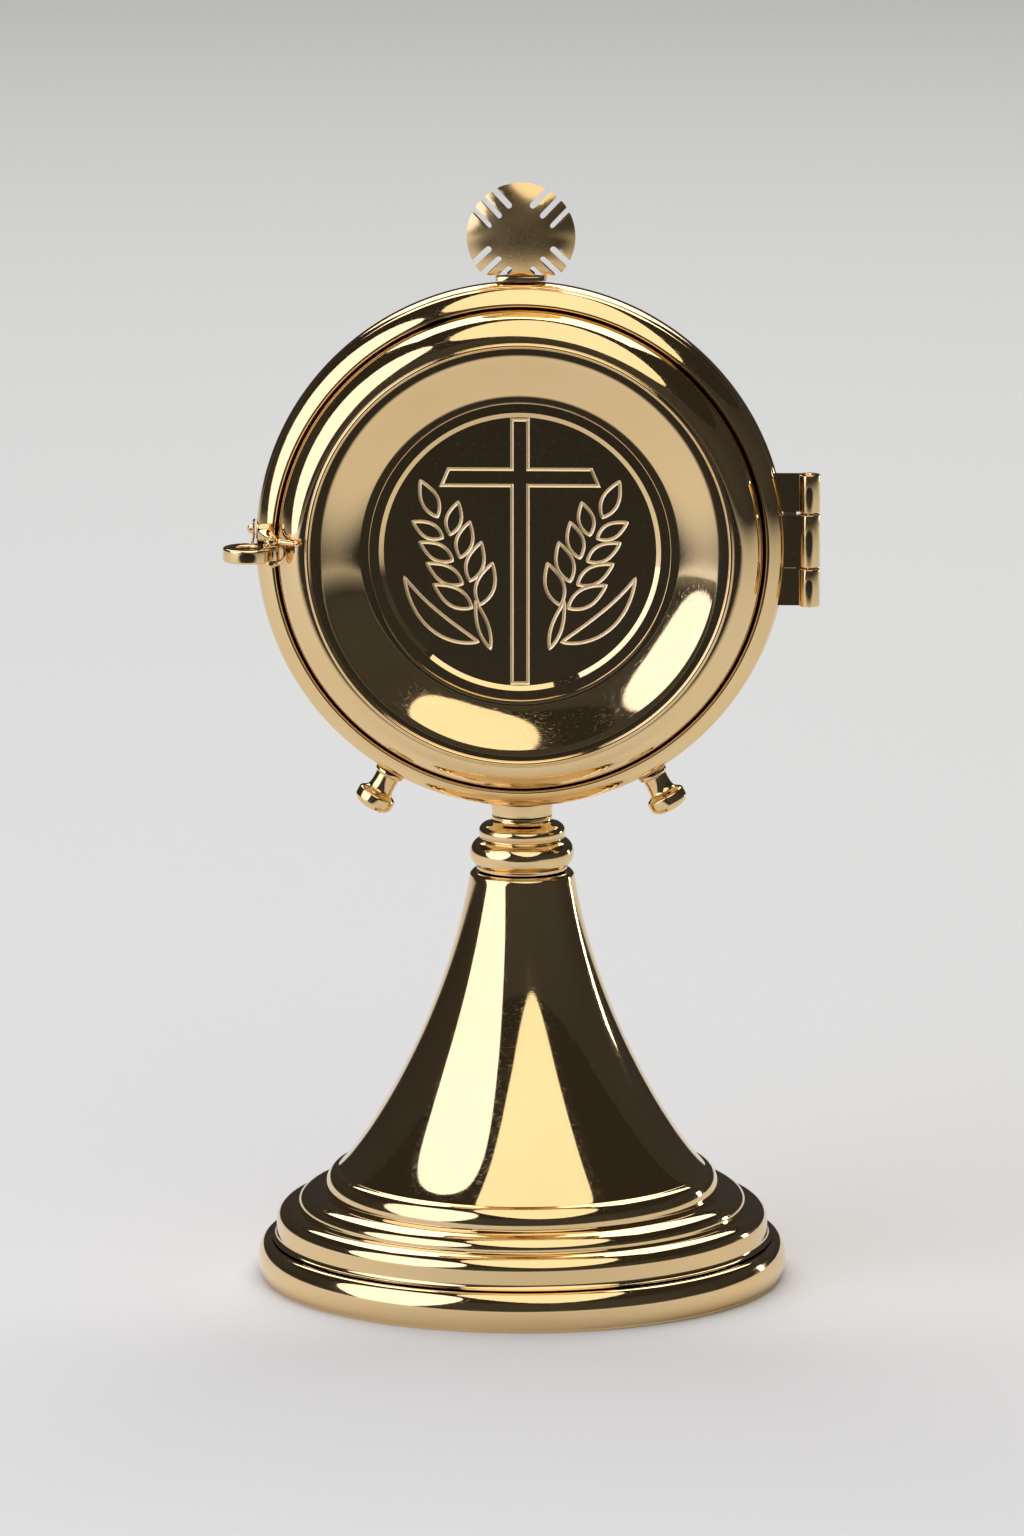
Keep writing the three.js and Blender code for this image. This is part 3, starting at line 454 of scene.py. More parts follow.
def mended(piece, mend):
    """Puts the piece's mesh through a repair."""
    work = bmesh.new()
    work.from_mesh(piece.data)
    mend(work)
    work.to_mesh(piece.data)
    work.free()


# Finishes

class Signal:
    """A number that varies over a surface, worked with as numbers are."""

    def __init__(self, finish, socket):
        self.finish = finish
        self.socket = socket

    def _with(self, operation, first, second):
        """Adds a node that works out the operation."""
        return self.finish.signal("ShaderNodeMath", {"operation": operation}, [first, second])

    def __add__(self, other):
        return self._with("ADD", self, other)

    def __sub__(self, other):
        return self._with("SUBTRACT", self, other)

    def __mul__(self, other):
        return self._with("MULTIPLY", self, other)

    def __pow__(self, other):
        return self._with("POWER", self, other)

    __radd__ = __add__
    __rmul__ = __mul__


class Finish:
    """A metal finish under construction: its material, its nodes and its coordinates."""

    def __init__(self, name, colour, roughness):
        self.material = bpy.data.materials.new(name)
        self.material.use_nodes = True
        self.tree = self.material.node_tree
        self.tree.nodes.clear()
        output = self.tree.nodes.new("ShaderNodeOutputMaterial")
        self.shader = self.tree.nodes.new("ShaderNodeBsdfPrincipled")
        self.tree.links.new(self.shader.outputs[0], output.inputs["Surface"])
        self.shader.inputs["Metallic"].default_value = 1.0
        self.shader.inputs["Base Color"].default_value = (*colour, 1.0)
        self.shader.inputs["Roughness"].default_value = roughness
        place = self.tree.nodes.new("ShaderNodeTexCoord")
        self.place = self.signal("ShaderNodeVectorMath", {"operation": "SCALE"},
                                 {"Vector": place.outputs["Object"], "Scale": 1000.0})

    def signal(self, kind, settings=None, inputs=(), output=0):
        """Adds a node: settings first, then the values or links of its sockets."""
        node = self.tree.nodes.new(kind)
        for key, value in (settings or {}).items():
            setattr(node, key, value)
        items = inputs.items() if isinstance(inputs, dict) else enumerate(inputs)
        for key, value in items:
            if isinstance(value, Signal):
                value = value.socket
            if isinstance(value, bpy.types.NodeSocket):
                self.tree.links.new(value, node.inputs[key])
            else:
                node.inputs[key].default_value = value
        return Signal(self, node.outputs[output])

    def feed(self, socket, value):
        """Links a varying value to a socket of the shader."""
        self.tree.links.new(value.socket, self.shader.inputs[socket])

    def noise(self, scale, detail=2.0, roughness=0.5, vector=None, distortion=0.0):
        """Noise between 0 and 1; the scale is in cycles for each millimetre."""
        return self.signal("ShaderNodeTexNoise", {"noise_dimensions": "3D"},
                           {"Vector": vector or self.place, "Scale": scale,
                            "Detail": detail, "Roughness": roughness,
                            "Distortion": distortion}, "Fac")

    def ramp(self, value, low, high, new_low=0.0, new_high=1.0):
        """Smooth step from new_low to new_high as the value goes from low to high."""
        return self.signal("ShaderNodeMapRange",
                           {"interpolation_type": "SMOOTHSTEP"},
                           {"Value": value, "From Min": low, "From Max": high,
                            "To Min": new_low, "To Max": new_high}, "Result")

    def blend(self, factor, first, second):
        """Colour between two others."""
        node = self.tree.nodes.new("ShaderNodeMix")
        node.data_type = "RGBA"
        self.tree.links.new(factor.socket, node.inputs["Factor"])
        for key, value in ((6, first), (7, second)):
            if isinstance(value, Signal):
                self.tree.links.new(value.socket, node.inputs[key])
            else:
                node.inputs[key].default_value = (*value, 1.0)
        return Signal(self, node.outputs[2])

    def stretched(self, along, across):
        """Coordinates squeezed by three factors, so that noise on them makes streaks."""
        return self.signal("ShaderNodeVectorMath", {"operation": "MULTIPLY"},
                           {0: self.place, 1: (along, across, along)})

    def round_the_axis(self, centre=None):
        """Distance from the turning axis and place along it, in millimetres."""
        parts = [self.signal("ShaderNodeSeparateXYZ", None, [self.place], k)
                 for k in range(3)]
        if centre is None:
            first, second, along = parts
        else:
            first, second, along = parts[0], parts[2] - centre, parts[1]
        return (first * first + second * second) ** 0.5, along

    def turning(self, pitch, detail, centre=None):
        """Noise in fine rings round the turning axis, pitch cycles to the millimetre."""
        radius, along = self.round_the_axis(centre)
        rings = self.signal("ShaderNodeCombineXYZ", None, [radius * pitch, along * pitch, 0.0])
        return self.noise(1.0, detail, 0.6, rings)

    def bump(self, height):
        """Height in millimetres on the surface."""
        return self.signal("ShaderNodeBump", None,
                           {"Strength": 1.0, "Distance": MM, "Height": height})


def plated(name, deep=0.0, rough=0.035, centre=None, axis_lines=0.0012, wave=1.0):
    """Polished gold plate: a slow change of tone, faint smears that dull it, lines left by
    turning, hairline scratches from cleaning, and the slow waves of spun sheet."""
    finish = Finish(name, colours().gilt, rough)
    tone = finish.ramp(finish.noise(0.035, 3.0), 0.35, 0.7, deep * 0.6, deep * 0.6 + 0.4)
    finish.feed("Base Color", finish.blend(tone, colours().gilt, colours().gilt_deep))
    smear = finish.ramp(finish.noise(0.07, 4.0, 0.62, distortion=0.6), 0.5, 0.78)
    hair = finish.noise(1.0, 3.0, 0.6, finish.stretched(0.9, 9.0))
    cross_hair = finish.noise(1.0, 3.0, 0.6, finish.stretched(7.0, 0.7))
    scratch = finish.ramp(hair * cross_hair, 0.33, 0.42)
    finish.feed("Roughness", smear * 0.045 + scratch * 0.06 + rough)
    lines = finish.turning(5.0, 2.0, centre)
    slow = finish.noise(0.09, 1.0, 0.4)
    height = slow * (wave * sizes().wave_depth / MM) + lines * axis_lines + scratch * -0.0016
    finish.feed("Normal", finish.bump(height))
    return finish.material


def finial_brushing_and_painted_reflection():
    """Gold plate, bright at the rim and dulled in the middle by fine brushing, where the colour
    is also darkened as a painted dark reflection of the room.
    """
    finish = Finish("Gilt brushed, painted dark reflection", colours().gilt, 0.1)
    radius, _ = finish.round_the_axis(FINIAL_CENTRE)
    ragged = radius + finish.noise(0.5, 3.0) * 2.4 - 1.2
    # Mask of the middle: it covers real brushing and the painted dark reflection in the base
    # colour below.
    middle = finish.ramp(ragged, 8.6, 2.4)
    grain = finish.noise(3.2, 4.0, 0.7)
    streaks = finish.noise(1.0, 3.0, 0.7, finish.stretched(1.2, 6.0))
    # Painted dark reflection: in the middle the base colour goes from deep gilt towards dark
    # brown, mixed with the brushing grain.
    finish.feed("Base Color", finish.blend(middle * grain * 0.55, colours().gilt_deep,
                                           (0.52, 0.37, 0.16)))
    finish.feed("Roughness", middle * (grain * 0.16 + 0.04) + streaks * 0.08 + 0.11)
    finish.feed("Normal", finish.bump(middle * grain * 0.022 + streaks * 0.003))
    return finish.material


def frosted_line():
    """Gold frosted by the graver: pale, rough and finely pitted."""
    finish = Finish("Engraved gilt", colours().engraved, 0.36)
    pits = finish.noise(5.5, 3.0, 0.65)
    finish.feed("Base Color", finish.blend(pits, colours().engraved, colours().gilt))
    finish.feed("Roughness", pits * 0.22 + 0.24)
    finish.feed("Normal", finish.bump(pits * 0.05))
    return finish.material


def satin_gilt():
    """Gold plate left satin inside the case: fine turning lines and a soft haze."""
    finish = Finish("Gilt satin", colours().gilt, 0.26)
    lines = finish.turning(7.0, 3.0, CASE_CENTRE)
    haze = finish.noise(0.12, 3.0)
    finish.feed("Base Color", finish.blend(haze, colours().gilt, colours().gilt_deep))
    finish.feed("Roughness", lines * 0.1 + haze * 0.08 + 0.18)
    finish.feed("Normal", finish.bump(lines * 0.006))
    return finish.material


def machined_brass():
    """Unplated brass: turning lines, a brown tarnish in patches and dull high spots."""
    finish = Finish("Bare brass", colours().brass, 0.34)
    lines = finish.turning(6.0, 3.0)
    tarnish = finish.ramp(finish.noise(0.22, 4.0, 0.6), 0.45, 0.75)
    finish.feed("Base Color", finish.blend(tarnish, colours().brass, (0.3, 0.19, 0.09)))
    finish.feed("Roughness", tarnish * 0.2 + lines * 0.12 + 0.24)
    finish.feed("Normal", finish.bump(lines * 0.01))
    return finish.material


def pale_paper():
    """Matt pale paper with a faint tooth, and a soft-edged dark patch on the floor in front
    that the polished metal mirrors."""
    finish = Finish("Pale paper", colours().floor, 0.9)
    finish.shader.inputs["Metallic"].default_value = 0.0
    finish.shader.inputs["Specular IOR Level"].default_value = 0.1
    tooth = finish.noise(0.5, 3.0)
    tone = tuple(value * 0.985 for value in colours().floor)
    pale = finish.blend(tooth, colours().floor, tone)
    side, front = (finish.signal("ShaderNodeSeparateXYZ", None, [finish.place], k)
                   for k in (0, 1))
    front = front + DARK_PATCH_AWAY
    away = (side * side + front * front) ** 0.5
    card = finish.ramp(away, *DARK_PATCH_EDGE)
    finish.feed("Base Color", finish.blend(card, colours().dark_card, pale))
    return finish.material


# Pieces

def shared(name, maker, *values, **named):
    """The finish of that name, made when it is first asked for."""
    return bpy.data.materials.get(name) or maker(*values, **named)


def foot_gilt():
    """Plate of the pieces turned round the foot's axis."""
    return shared("Gilt foot", plated, "Gilt foot", deep=0.3)


def case_gilt():
    """Plate of the pieces turned round the case's axis."""
    return shared("Gilt case", plated, "Gilt case", deep=0.35, centre=CASE_CENTRE)


def small_gilt():
    """Plate of the small fittings, without turning lines."""
    return shared("Gilt small parts", plated, "Gilt small parts", deep=0.5, rough=0.06,
                  axis_lines=0.0, wave=0.4)


def cone_curve(count):
    """Outer line of the cone from its neck to the shoulder, a cubic."""
    top = CONE_TOP - FOOT_SHEET / 2
    return bezier([(9.9, top), (14.4, top - 28.0), (29.6, CONE_BASE + 5.4), (35.0, CONE_BASE)],
                  count)


class CUSTODIAL_OT_foot(bpy.types.Operator):
    """Build the flared foot, its heavy rim and the tie rod's fixings inside it"""

    bl_idname = "custodial.foot"
    bl_label = "Foot"

    def execute(self, context):
        steps = sizes().turn_steps
        ease = sizes().edge_round / MM
        shelf = 1.93
        crown = RIM_HEIGHT * 0.46
        rim = run(
            (RIM_RADIUS - 5.6, 0.0), (RIM_RADIUS - 0.9, 0.0),
            arc(RIM_RADIUS - shelf, crown, shelf, crown, -60, 0, 16),
            arc(RIM_RADIUS - shelf, crown, shelf, RIM_HEIGHT - crown, 0, 90, 18),
            (RIM_RADIUS - 5.6, RIM_HEIGHT))
        turned("rim", rim, steps, foot_gilt(), "case", "foot_rim", ease=ease)
        ledge = 0.96
        inside = beside(cone_curve(60), -FOOT_SHEET)
        inside = inside[inside[:, 1] < CONE_TOP - FOOT_SHEET * 2]
        shell = run(
            (BORE, CONE_TOP), (9.3, CONE_TOP), cone_curve(90),
            arc(35.0, SHOULDER_FOOT, 2.4, 3.6, 90, 0, 20), (SHOULDER_RADIUS, ROLL_TOP),
            arc(38.6, ROLL_FOOT, 4.0, 2.6, 90, 0, 20), (ROLL_RADIUS, EDGE_TOP),
            arc(43.8, WALL_TOP, 3.0, 2.7, 90, 0, 20),
            arc(DRUM_RADIUS + ledge, SHELL_BASE + ledge, ledge, ledge, 180, 270, 10),
            (DRUM_RADIUS - FOOT_SHEET, SHELL_BASE), (DRUM_RADIUS - FOOT_SHEET, WALL_TOP),
            (35.0, CONE_BASE - FOOT_SHEET - 3.6), inside[::-1],
            (9.9 - FOOT_SHEET, CONE_TOP - FOOT_SHEET), (BORE, CONE_TOP - FOOT_SHEET))
        turned("foot", shell, steps, foot_gilt(), "case", "foot_shell", ease=ease)
        self.fixings()
        return {"FINISHED"}

    def fixings(self):
        """Cup washer, tie rod and hexagon nut."""
        brass = shared("Bare brass", machined_brass)
        sheet = 1.6
        cup = run((BORE, WASHER_BASE), (6.2, WASHER_BASE), (12.87, WASHER_EDGE),
                  (12.87, WASHER_EDGE + sheet), (6.2, WASHER_BASE + sheet),
                  (BORE, WASHER_BASE + sheet))
        turned("washer", cup, 96, brass, "case", "cup_washer", 0.2)
        rod = run((0.0, ROD_LOW), (2.0, ROD_LOW), (2.5, ROD_LOW + 0.5),
                  (2.5, ROD_HIGH - 0.5), (2.0, ROD_HIGH), (0.0, ROD_HIGH))
        turned("rod", rod, 48, brass, "case", "tie_rod", 0.2)
        hexagon = arc(0, 0, 4.6, 4.6, 0, 360, 7)[:-1]
        hole = arc(0, 0, BORE, BORE, 0, 360, 49)[:-1]
        flat, faces = flat_sheet([hexagon, hole],
                                 lambda p: np.linalg.norm(p, axis=1) > BORE, [(3.9, 0.0)])
        points = np.column_stack([flat, np.full(len(flat), NUT_BASE)])
        walled(put_together("nut", (points, faces), brass, "case", "foot_nut"), 4.0, 0.3)


class CUSTODIAL_OT_knop(bpy.types.Operator):
    """Build the turned knop and the flared collar under the case"""

    bl_idname = "custodial.knop"
    bl_label = "Knop and Collar"

    def execute(self, context):
        steps = sizes().turn_steps // 2
        roll = KNOP_BASE + KNOP_HEIGHT * 0.3
        waist = KNOP_BASE + KNOP_HEIGHT * 0.56
        bulge = KNOP_BASE + KNOP_HEIGHT * 0.71
        top = KNOP_BASE + KNOP_HEIGHT
        knop = run(
            (BORE, KNOP_BASE), (8.6, KNOP_BASE), (8.6, KNOP_BASE + 0.3),
            arc(7.4, roll, 2.5, 2.8, -62, 74, 34), (7.9, waist + 0.3),
            arc(6.0, bulge - 0.1, 2.25, 1.75, -22, 70, 24), (NECK_RADIUS + 0.3, top - 1.1),
            (NECK_RADIUS, top - 0.7), (NECK_RADIUS, top), (BORE, top))
        turned("knop_turned", knop, steps, foot_gilt(), "case", "knop")
        self.collar(steps)
        return {"FINISHED"}

    def collar(self, steps):
        """The flare's line is a quadratic; above it every point is lowered onto the case:
        height = the least of its own and centre - sqrt(R^2 - x^2), R the band's radius
        where the band lies and the body's elsewhere."""
        t = np.linspace(0, 1, 26)[:, None]
        low, mid, high = (np.array(p) for p in ((NECK_RADIUS, COLLAR_BASE),
                                                (NECK_RADIUS, COLLAR_BASE + 2.8),
                                                (NECK_RADIUS + 2.2, COLLAR_BASE + 5.6)))
        flare = (1 - t) ** 2 * low + 2 * (1 - t) * t * mid + t ** 2 * high
        top = COLLAR_BASE + 7.8
        across = np.linspace(NECK_RADIUS + 2.2, BORE, 26)
        lid = np.column_stack([across, np.full(26, top)])
        points, faces = lathe(run((BORE, COLLAR_BASE), flare, (NECK_RADIUS + 2.2, top), lid),
                              steps)
        edge = CASE_FRONT + BAND_HALF * 2 + SEAM
        seat = np.where(points[:, 1] < edge, BAND_RADIUS + SEAM, CASE_RADIUS + SEAM)
        limit = CASE_CENTRE - np.sqrt(seat ** 2 - points[:, 0] ** 2)
        points[:, 2] = np.minimum(points[:, 2], limit)
        piece = put_together("collar_turned", (points, faces), foot_gilt(), "case", "collar")
        mended(piece, lambda work: bmesh.ops.dissolve_degenerate(work, dist=1e-7,
                                                                 edges=work.edges))


class CUSTODIAL_OT_case(bpy.types.Operator):
    """Build the case: its body, the band round its mouth, the mouth ring and the cradle"""

    bl_idname = "custodial.case"
    bl_label = "Case"

    def execute(self, context):
        steps = sizes().turn_steps
        inner = CASE_RADIUS - CASE_SHEET
        step_y = CASE_BACK - 1.3
        body = run(
            (0.0, CASE_BACK), (34.0, CASE_BACK), arc(34.0, step_y, 1.3, 1.3, 90, 10, 10),
            arc(CASE_RADIUS - 6.0, step_y - 6.0, 6.0, 6.0, 90, 0, 26),
            (CASE_RADIUS, CASE_FRONT), (inner, CASE_FRONT),
            arc(inner - 4.8, step_y - 6.0, 4.8, 4.8, 0, 90, 22),
            (32.8, step_y - CASE_SHEET), (31.6, CASE_BACK - CASE_SHEET),
            (0.0, CASE_BACK - CASE_SHEET))
        turned("case_cup", body, steps, case_gilt(), "case", "case_body", axis="Y")
        crown = 1.265
        band = run((BAND_INNER, CASE_FRONT + BAND_HALF * 2),
                   arc(BAND_RADIUS - crown, BAND_Y, crown, BAND_HALF, 90, -90, 30),
                   (BAND_INNER, CASE_FRONT))
        turned("band", band, steps, case_gilt(), "case", "case_band", ease=0.15, axis="Y")
        stand = inner - SEAM
        mouth = run((stand - 0.9, DOOR_BACK - 0.7), (stand, DOOR_BACK - 0.7),
                    (stand, CASE_FRONT + 3.0), (stand - 0.9, CASE_FRONT + 3.0))
        satin = shared("Gilt satin", satin_gilt)
        turned("mouth", mouth, steps, satin, "case", "mouth_ring", axis="Y")
        self.cradle(satin)
        return {"FINISHED"}

    def cradle(self, satin):
        """The channel's U section is carried along the lower arc of the lunette: a point is
        ((R + u) cos a, v, centre + (R + u) sin a), with (u, v) the section."""
        half = CRADLE_HALF
        side = half + CRADLE_WALL
        section = np.array([(CRADLE_WALL, -side), (CRADLE_WALL, side), (-2.6, side),
                            (-2.6, half), (0, half), (0, -half), (-2.6, -half),
                            (-2.6, -side)], float)
        section = eased(section, 0.3, True, 24.0, 3)
        reach = np.arcsin(CRADLE_REACH / (LUNETTE_RADIUS + CRADLE_WALL))
        angle = np.linspace(-np.pi + reach, -reach, 90)
        radius = LUNETTE_RADIUS + section[:, 0]
        grid = np.stack([np.cos(angle)[:, None] * radius,
                         np.broadcast_to(section[:, 1], (90, len(section))),
                         CASE_CENTRE + np.sin(angle)[:, None] * radius], axis=-1)
        foot = block((-4.0, -side, 96.9), (4.0, side, 104.6))
        put_together("cradle", together(capped(grid), foot), satin, "case",
                     "lunette_cradle", 30.0)


class CUSTODIAL_OT_knobs(bpy.types.Operator):
    """Build the two turned knobs under the case"""

    bl_idname = "custodial.knobs"
    bl_label = "Knobs"

    def execute(self, context):
        profile = run(
            (0.0, 0.0), (2.85, 0.0), (2.85, 0.6), (2.45, 0.8),
            bezier([(2.35, 0.9), (2.25, 2.2), (2.25, 2.9), (2.4, 3.6)], 14),
            bezier([(2.4, 3.6), (2.6, 4.5), (3.25, 4.5), (3.6, 4.9)], 14),
            (3.75, 5.15), (3.75, 6.7), (3.45, 7.1), arc(0.0, 7.1, 3.35, 1.0, 8, 90, 14))
        angle = np.radians(KNOB_ANGLE)
        for name, sign in (("left", -1), ("right", 1)):
            out = np.array([sign * np.sin(angle), 0.0, -np.cos(angle)])
            turn = np.column_stack([np.cross((0, 1, 0), out), (0, 1, 0), out])
            place = np.array([0, BAND_Y, CASE_CENTRE]) + out * (BAND_RADIUS + SEAM)
            turned(f"knob_turned_{name}", profile, 72, small_gilt(), "case",
                   f"knob_{name}", ease=0.18, turn=turn, place=place)
        return {"FINISHED"}


def diagonals():
    """Turns by 45, 135, 225 and 315 degrees, as matrices for rows of points."""
    return [np.array([[np.cos(angle), np.sin(angle)], [-np.sin(angle), np.cos(angle)]])
            for angle in np.radians((45, 135, 225, 315))]


def slot_lines(start, width, pitch, length):
    """Outlines of twelve slots with round inner ends, three along each diagonal."""
    end = arc(start + width / 2, 0.0, width / 2, width / 2, 90, 270, 9)
    slot = run(end, (length, -width / 2), (length, width / 2))
    return [(slot + (0.0, row * pitch)) @ turn for turn in diagonals() for row in (-1, 0, 1)]


class CUSTODIAL_OT_finial(bpy.types.Operator):
    """Build the slotted disc finial and its foot"""

    bl_idname = "custodial.finial"
    bl_label = "Finial"

    def execute(self, context):
        width = sizes().slot_width / MM
        start, pitch = 5.3, 2.7
        rim = arc(0, 0, FINIAL_RADIUS, FINIAL_RADIUS, 0, 360, 181)[:-1]
        slots = slot_lines(start, width, pitch, FINIAL_RADIUS * 1.3)
        flat = np.array([(-FINIAL_RADIUS * 1.2, -FINIAL_FOOT),
                         (FINIAL_RADIUS * 1.2, -FINIAL_FOOT)])

        def keep(points):
            """Inside the rim, above the foot, and in none of the slots: |v - row| over half
            the width, or u before the round end."""
            inside = np.linalg.norm(points, axis=1) < FINIAL_RADIUS - 1e-3
            inside &= points[:, 1] > -FINIAL_FOOT
            centre = start + width / 2
            for turn in diagonals():
                u, middle = (points @ turn.T).T
                for row in (-1, 0, 1):
                    v = middle - row * pitch
                    within = np.where(u > centre, np.abs(v) < width / 2,
                                      np.hypot(u - centre, v) < width / 2 - 1e-3)
                    inside &= ~((u > start) & within)
            return inside

        spread = np.arange(-12.0, 12.01, 0.55)
        across, up = np.meshgrid(spread, spread)
        across = across + (np.arange(len(spread)) % 2)[:, None] * 0.275
        inner = np.stack([across.ravel(), up.ravel()], axis=1)
        flat_points, faces = flat_sheet([rim, *slots, flat], keep, inner)
        radius = np.linalg.norm(flat_points, axis=1)
        depth = BAND_Y - 0.75 - 2.0 * (1 - (radius / FINIAL_RADIUS) ** 2)
        points = np.column_stack([flat_points[:, 0], depth,
                                  flat_points[:, 1] + FINIAL_CENTRE])
        disc = put_together("finial", (points, faces), shared("Gilt brushed, painted dark reflection", finial_brushing_and_painted_reflection),
                            "case", "finial_disc", 40.0)
        walled(disc, 1.3, 0.16)
        self.foot()
        return {"FINISHED"}

    def foot(self):
        """Oval foot whose underside follows the band: z = centre + sqrt(R^2 - x^2)."""
        points, faces = lathe(run((0.0, -1.3), np.column_stack([np.linspace(0.1, 1, 12),
                              np.full(12, -1.3)]), (1.0, -0.15), (0.97, 0.0), (0.0, 0.0)), 64)
        points = points * (4.8, 1.8, 1.0) + (0.0, BAND_Y, FINIAL_SEAT)
        seat = CASE_CENTRE + np.sqrt((BAND_RADIUS + SEAM) ** 2 - points[:, 0] ** 2)
        points[:, 2] = np.maximum(points[:, 2], np.minimum(seat, FINIAL_SEAT))
        put_together("finial_foot", (points, faces), small_gilt(), "case", "finial_base")


class CUSTODIAL_OT_hinge(bpy.types.Operator):
    """Build the knuckle hinge: the case leaf, the door leaf and the pin"""

    bl_idname = "custodial.hinge"
    bl_label = "Hinge"

    def execute(self, context):
        gilt = small_gilt()
        low, high = HINGE_MIDDLE
        front, back, play, seat = PARTING_Y + 0.25, PARTING_Y + 1.25, 0.4, BAND_RADIUS - 0.8
        case_leaf = together(
            self.knuckle(HINGE_LOW, low - play), self.knuckle(high + play, HINGE_HIGH),
            self.leaf(front, HINGE_LOW, low - play, seat),
            self.leaf(front, high + play, HINGE_HIGH, seat),
            block((seat + 0.2, front, low - 0.6),
                  (HINGE_X - KNUCKLE_RADIUS - 0.45, back, high + 0.6)))
        put_together("hinge_case", case_leaf, gilt, "case", "hinge_leaf_case")
        door_leaf = together(self.knuckle(low, high),
                             self.leaf(PARTING_Y - 1.25, low, high, 49.23))
        put_together("hinge_door", door_leaf, gilt, "door", "hinge_leaf_door")
        pin = run((0, HINGE_LOW - 0.32), (0.5, HINGE_LOW - 0.32), (0.8, HINGE_LOW),
                  (0.8, HINGE_HIGH), (0.5, HINGE_HIGH + 0.32), (0, HINGE_HIGH + 0.32))
        turned("hinge_rod", pin, 32, gilt, "case", "hinge_pin", ease=0.1,
               place=(HINGE_X, PARTING_Y, 0))
        return {"FINISHED"}

    def knuckle(self, low, high):
        """Tube round the pin."""
        profile = run((0.86, low), (KNUCKLE_RADIUS, low), (KNUCKLE_RADIUS, high), (0.86, high))
        return moved(lathe(eased(profile, 0.22, True), 56), place=(HINGE_X, PARTING_Y, 0))

    def leaf(self, front, low, high, radius):
        """Plate from the knuckle to the round seat, its inner edge at
        x = sqrt((R + s)^2 - z^2) with z from the case's centre and s the seam."""
        z = np.linspace(low, high, 12)
        inner = np.sqrt((radius + SEAM) ** 2 - (z - CASE_CENTRE) ** 2)
        outer = np.full(12, HINGE_X - 1.1)
        corners = [(inner, front), (outer, front), (outer, front + 1.0), (inner, front + 1.0)]
        grid = np.stack([np.stack([x, np.full(12, y), z], axis=-1) for x, y in corners],
                        axis=1)
        return capped(grid)


def door_profile():
    """Outer line of the door: outer roll, valley, inner roll, bead and dish."""
    roll = run(bezier([(48.6, -9.6), (49.5, -9.75), (49.75, -10.7), (49.3, -11.35)], 16),
               bezier([(49.3, -11.35), (48.75, -12.1), (47.9, -12.95), (46.9, -13.4)], 20),
               bezier([(46.9, -13.4), (46.45, -13.6), (46.05, -13.4), (45.98, -12.1)], 16))
    inner = arc(BEAD_CENTRE_RADIUS + BEAD_TUBE, ROLL_CENTRE_Y, INNER_ROLL_WIDTH,
                -(BEAD_Y + BEAD_TUBE - ROLL_CENTRE_Y), 0, -90, 48)
    bead = arc(BEAD_CENTRE_RADIUS, BEAD_Y + BEAD_TUBE, BEAD_TUBE, BEAD_TUBE, -25, -155, 12)
    edge = BEAD_CENTRE_RADIUS - BEAD_TUBE
    dish = run(bezier([(edge, BEAD_Y + BEAD_TUBE), (38.6, -19.0), (38.0, -19.05),
                       (37.3, -18.8)], 12),
               bezier([(37.3, -18.8), (34.9, -17.86), (32.3, -16.72), (29.9, -15.95)], 48))
    return run((ROLL_CENTRE_RADIUS, DOOR_BACK), roll, inner, bead, dish,
               (DISH_RADIUS, -15.93), (LIP_RADIUS, -15.9))


class CUSTODIAL_OT_door(bpy.types.Operator):
    """Build the spun door and the ring that holds its roundel"""

    bl_idname = "custodial.door"
    bl_label = "Door"

    def execute(self, context):
        steps = sizes().turn_steps
        line = door_profile()
        back = beside(line, -DOOR_SHEET)
        reach = np.linalg.norm(back[:, None] - line[None], axis=2).min(axis=1)
        back = back[(reach > DOOR_SHEET * 0.93) & (back[:, 0] > DISH_RADIUS + DOOR_SHEET)
                    & (back[:, 0] < ROLL_CENTRE_RADIUS - DOOR_SHEET)]
        profile = run(line, (LIP_RADIUS, DISH_Y + 1.0), (DISH_RADIUS + DOOR_SHEET,
                      DISH_Y + 1.0), back[::-1],
                      (ROLL_CENTRE_RADIUS - DOOR_SHEET, ROLL_CENTRE_Y + DOOR_SHEET),
                      (ROLL_CENTRE_RADIUS - DOOR_SHEET, DOOR_BACK))
        turned("door_spun", profile, steps, case_gilt(), "door", "door_shell", ease=0.16,
               axis="Y")
        bore = DISH_RADIUS - 3.4
        ring = run((DISH_RADIUS, RETAINER_FRONT), (DISH_RADIUS, RETAINER_BACK),
                   (bore, RETAINER_BACK), (bore, RETAINER_FRONT))
        turned("retaining_ring", ring, steps, shared("Bare brass", machined_brass), "door",
               "roundel_retainer", 0.2, "Y")
        return {"FINISHED"}


# The engraving, in millimetres on the roundel's face, x to the right and z up

def cross_outline():
    """Latin cross with a bar that is longer along its lower edge."""
    return np.array([(-1.5, -25.1), (1.5, -25.1), (1.5, 12.6), (14.7, 12.6), (13.4, 15.7),
                     (1.5, 15.7), (1.5, 25.1), (-1.5, 25.1), (-1.5, 15.7), (-13.4, 15.7),
                     (-14.7, 12.6), (-1.5, 12.6)])


def petal(curve, width):
    """Closed line round a curve: to either side of it, for u from 0 to 1 along it, by half
    the width times sin(pi u)^0.8 (1.25 - 0.45 u), full near the stem, pointed at the tip."""
    steps = np.linalg.norm(np.diff(curve, axis=0), axis=1)
    u = np.concatenate([[0], np.cumsum(steps)]) / steps.sum()
    half = width / 2 * np.abs(np.sin(np.pi * u)) ** 0.8 * (1.25 - 0.45 * u)
    return np.concatenate([beside(curve, half), beside(curve, -half)[-2:0:-1]])


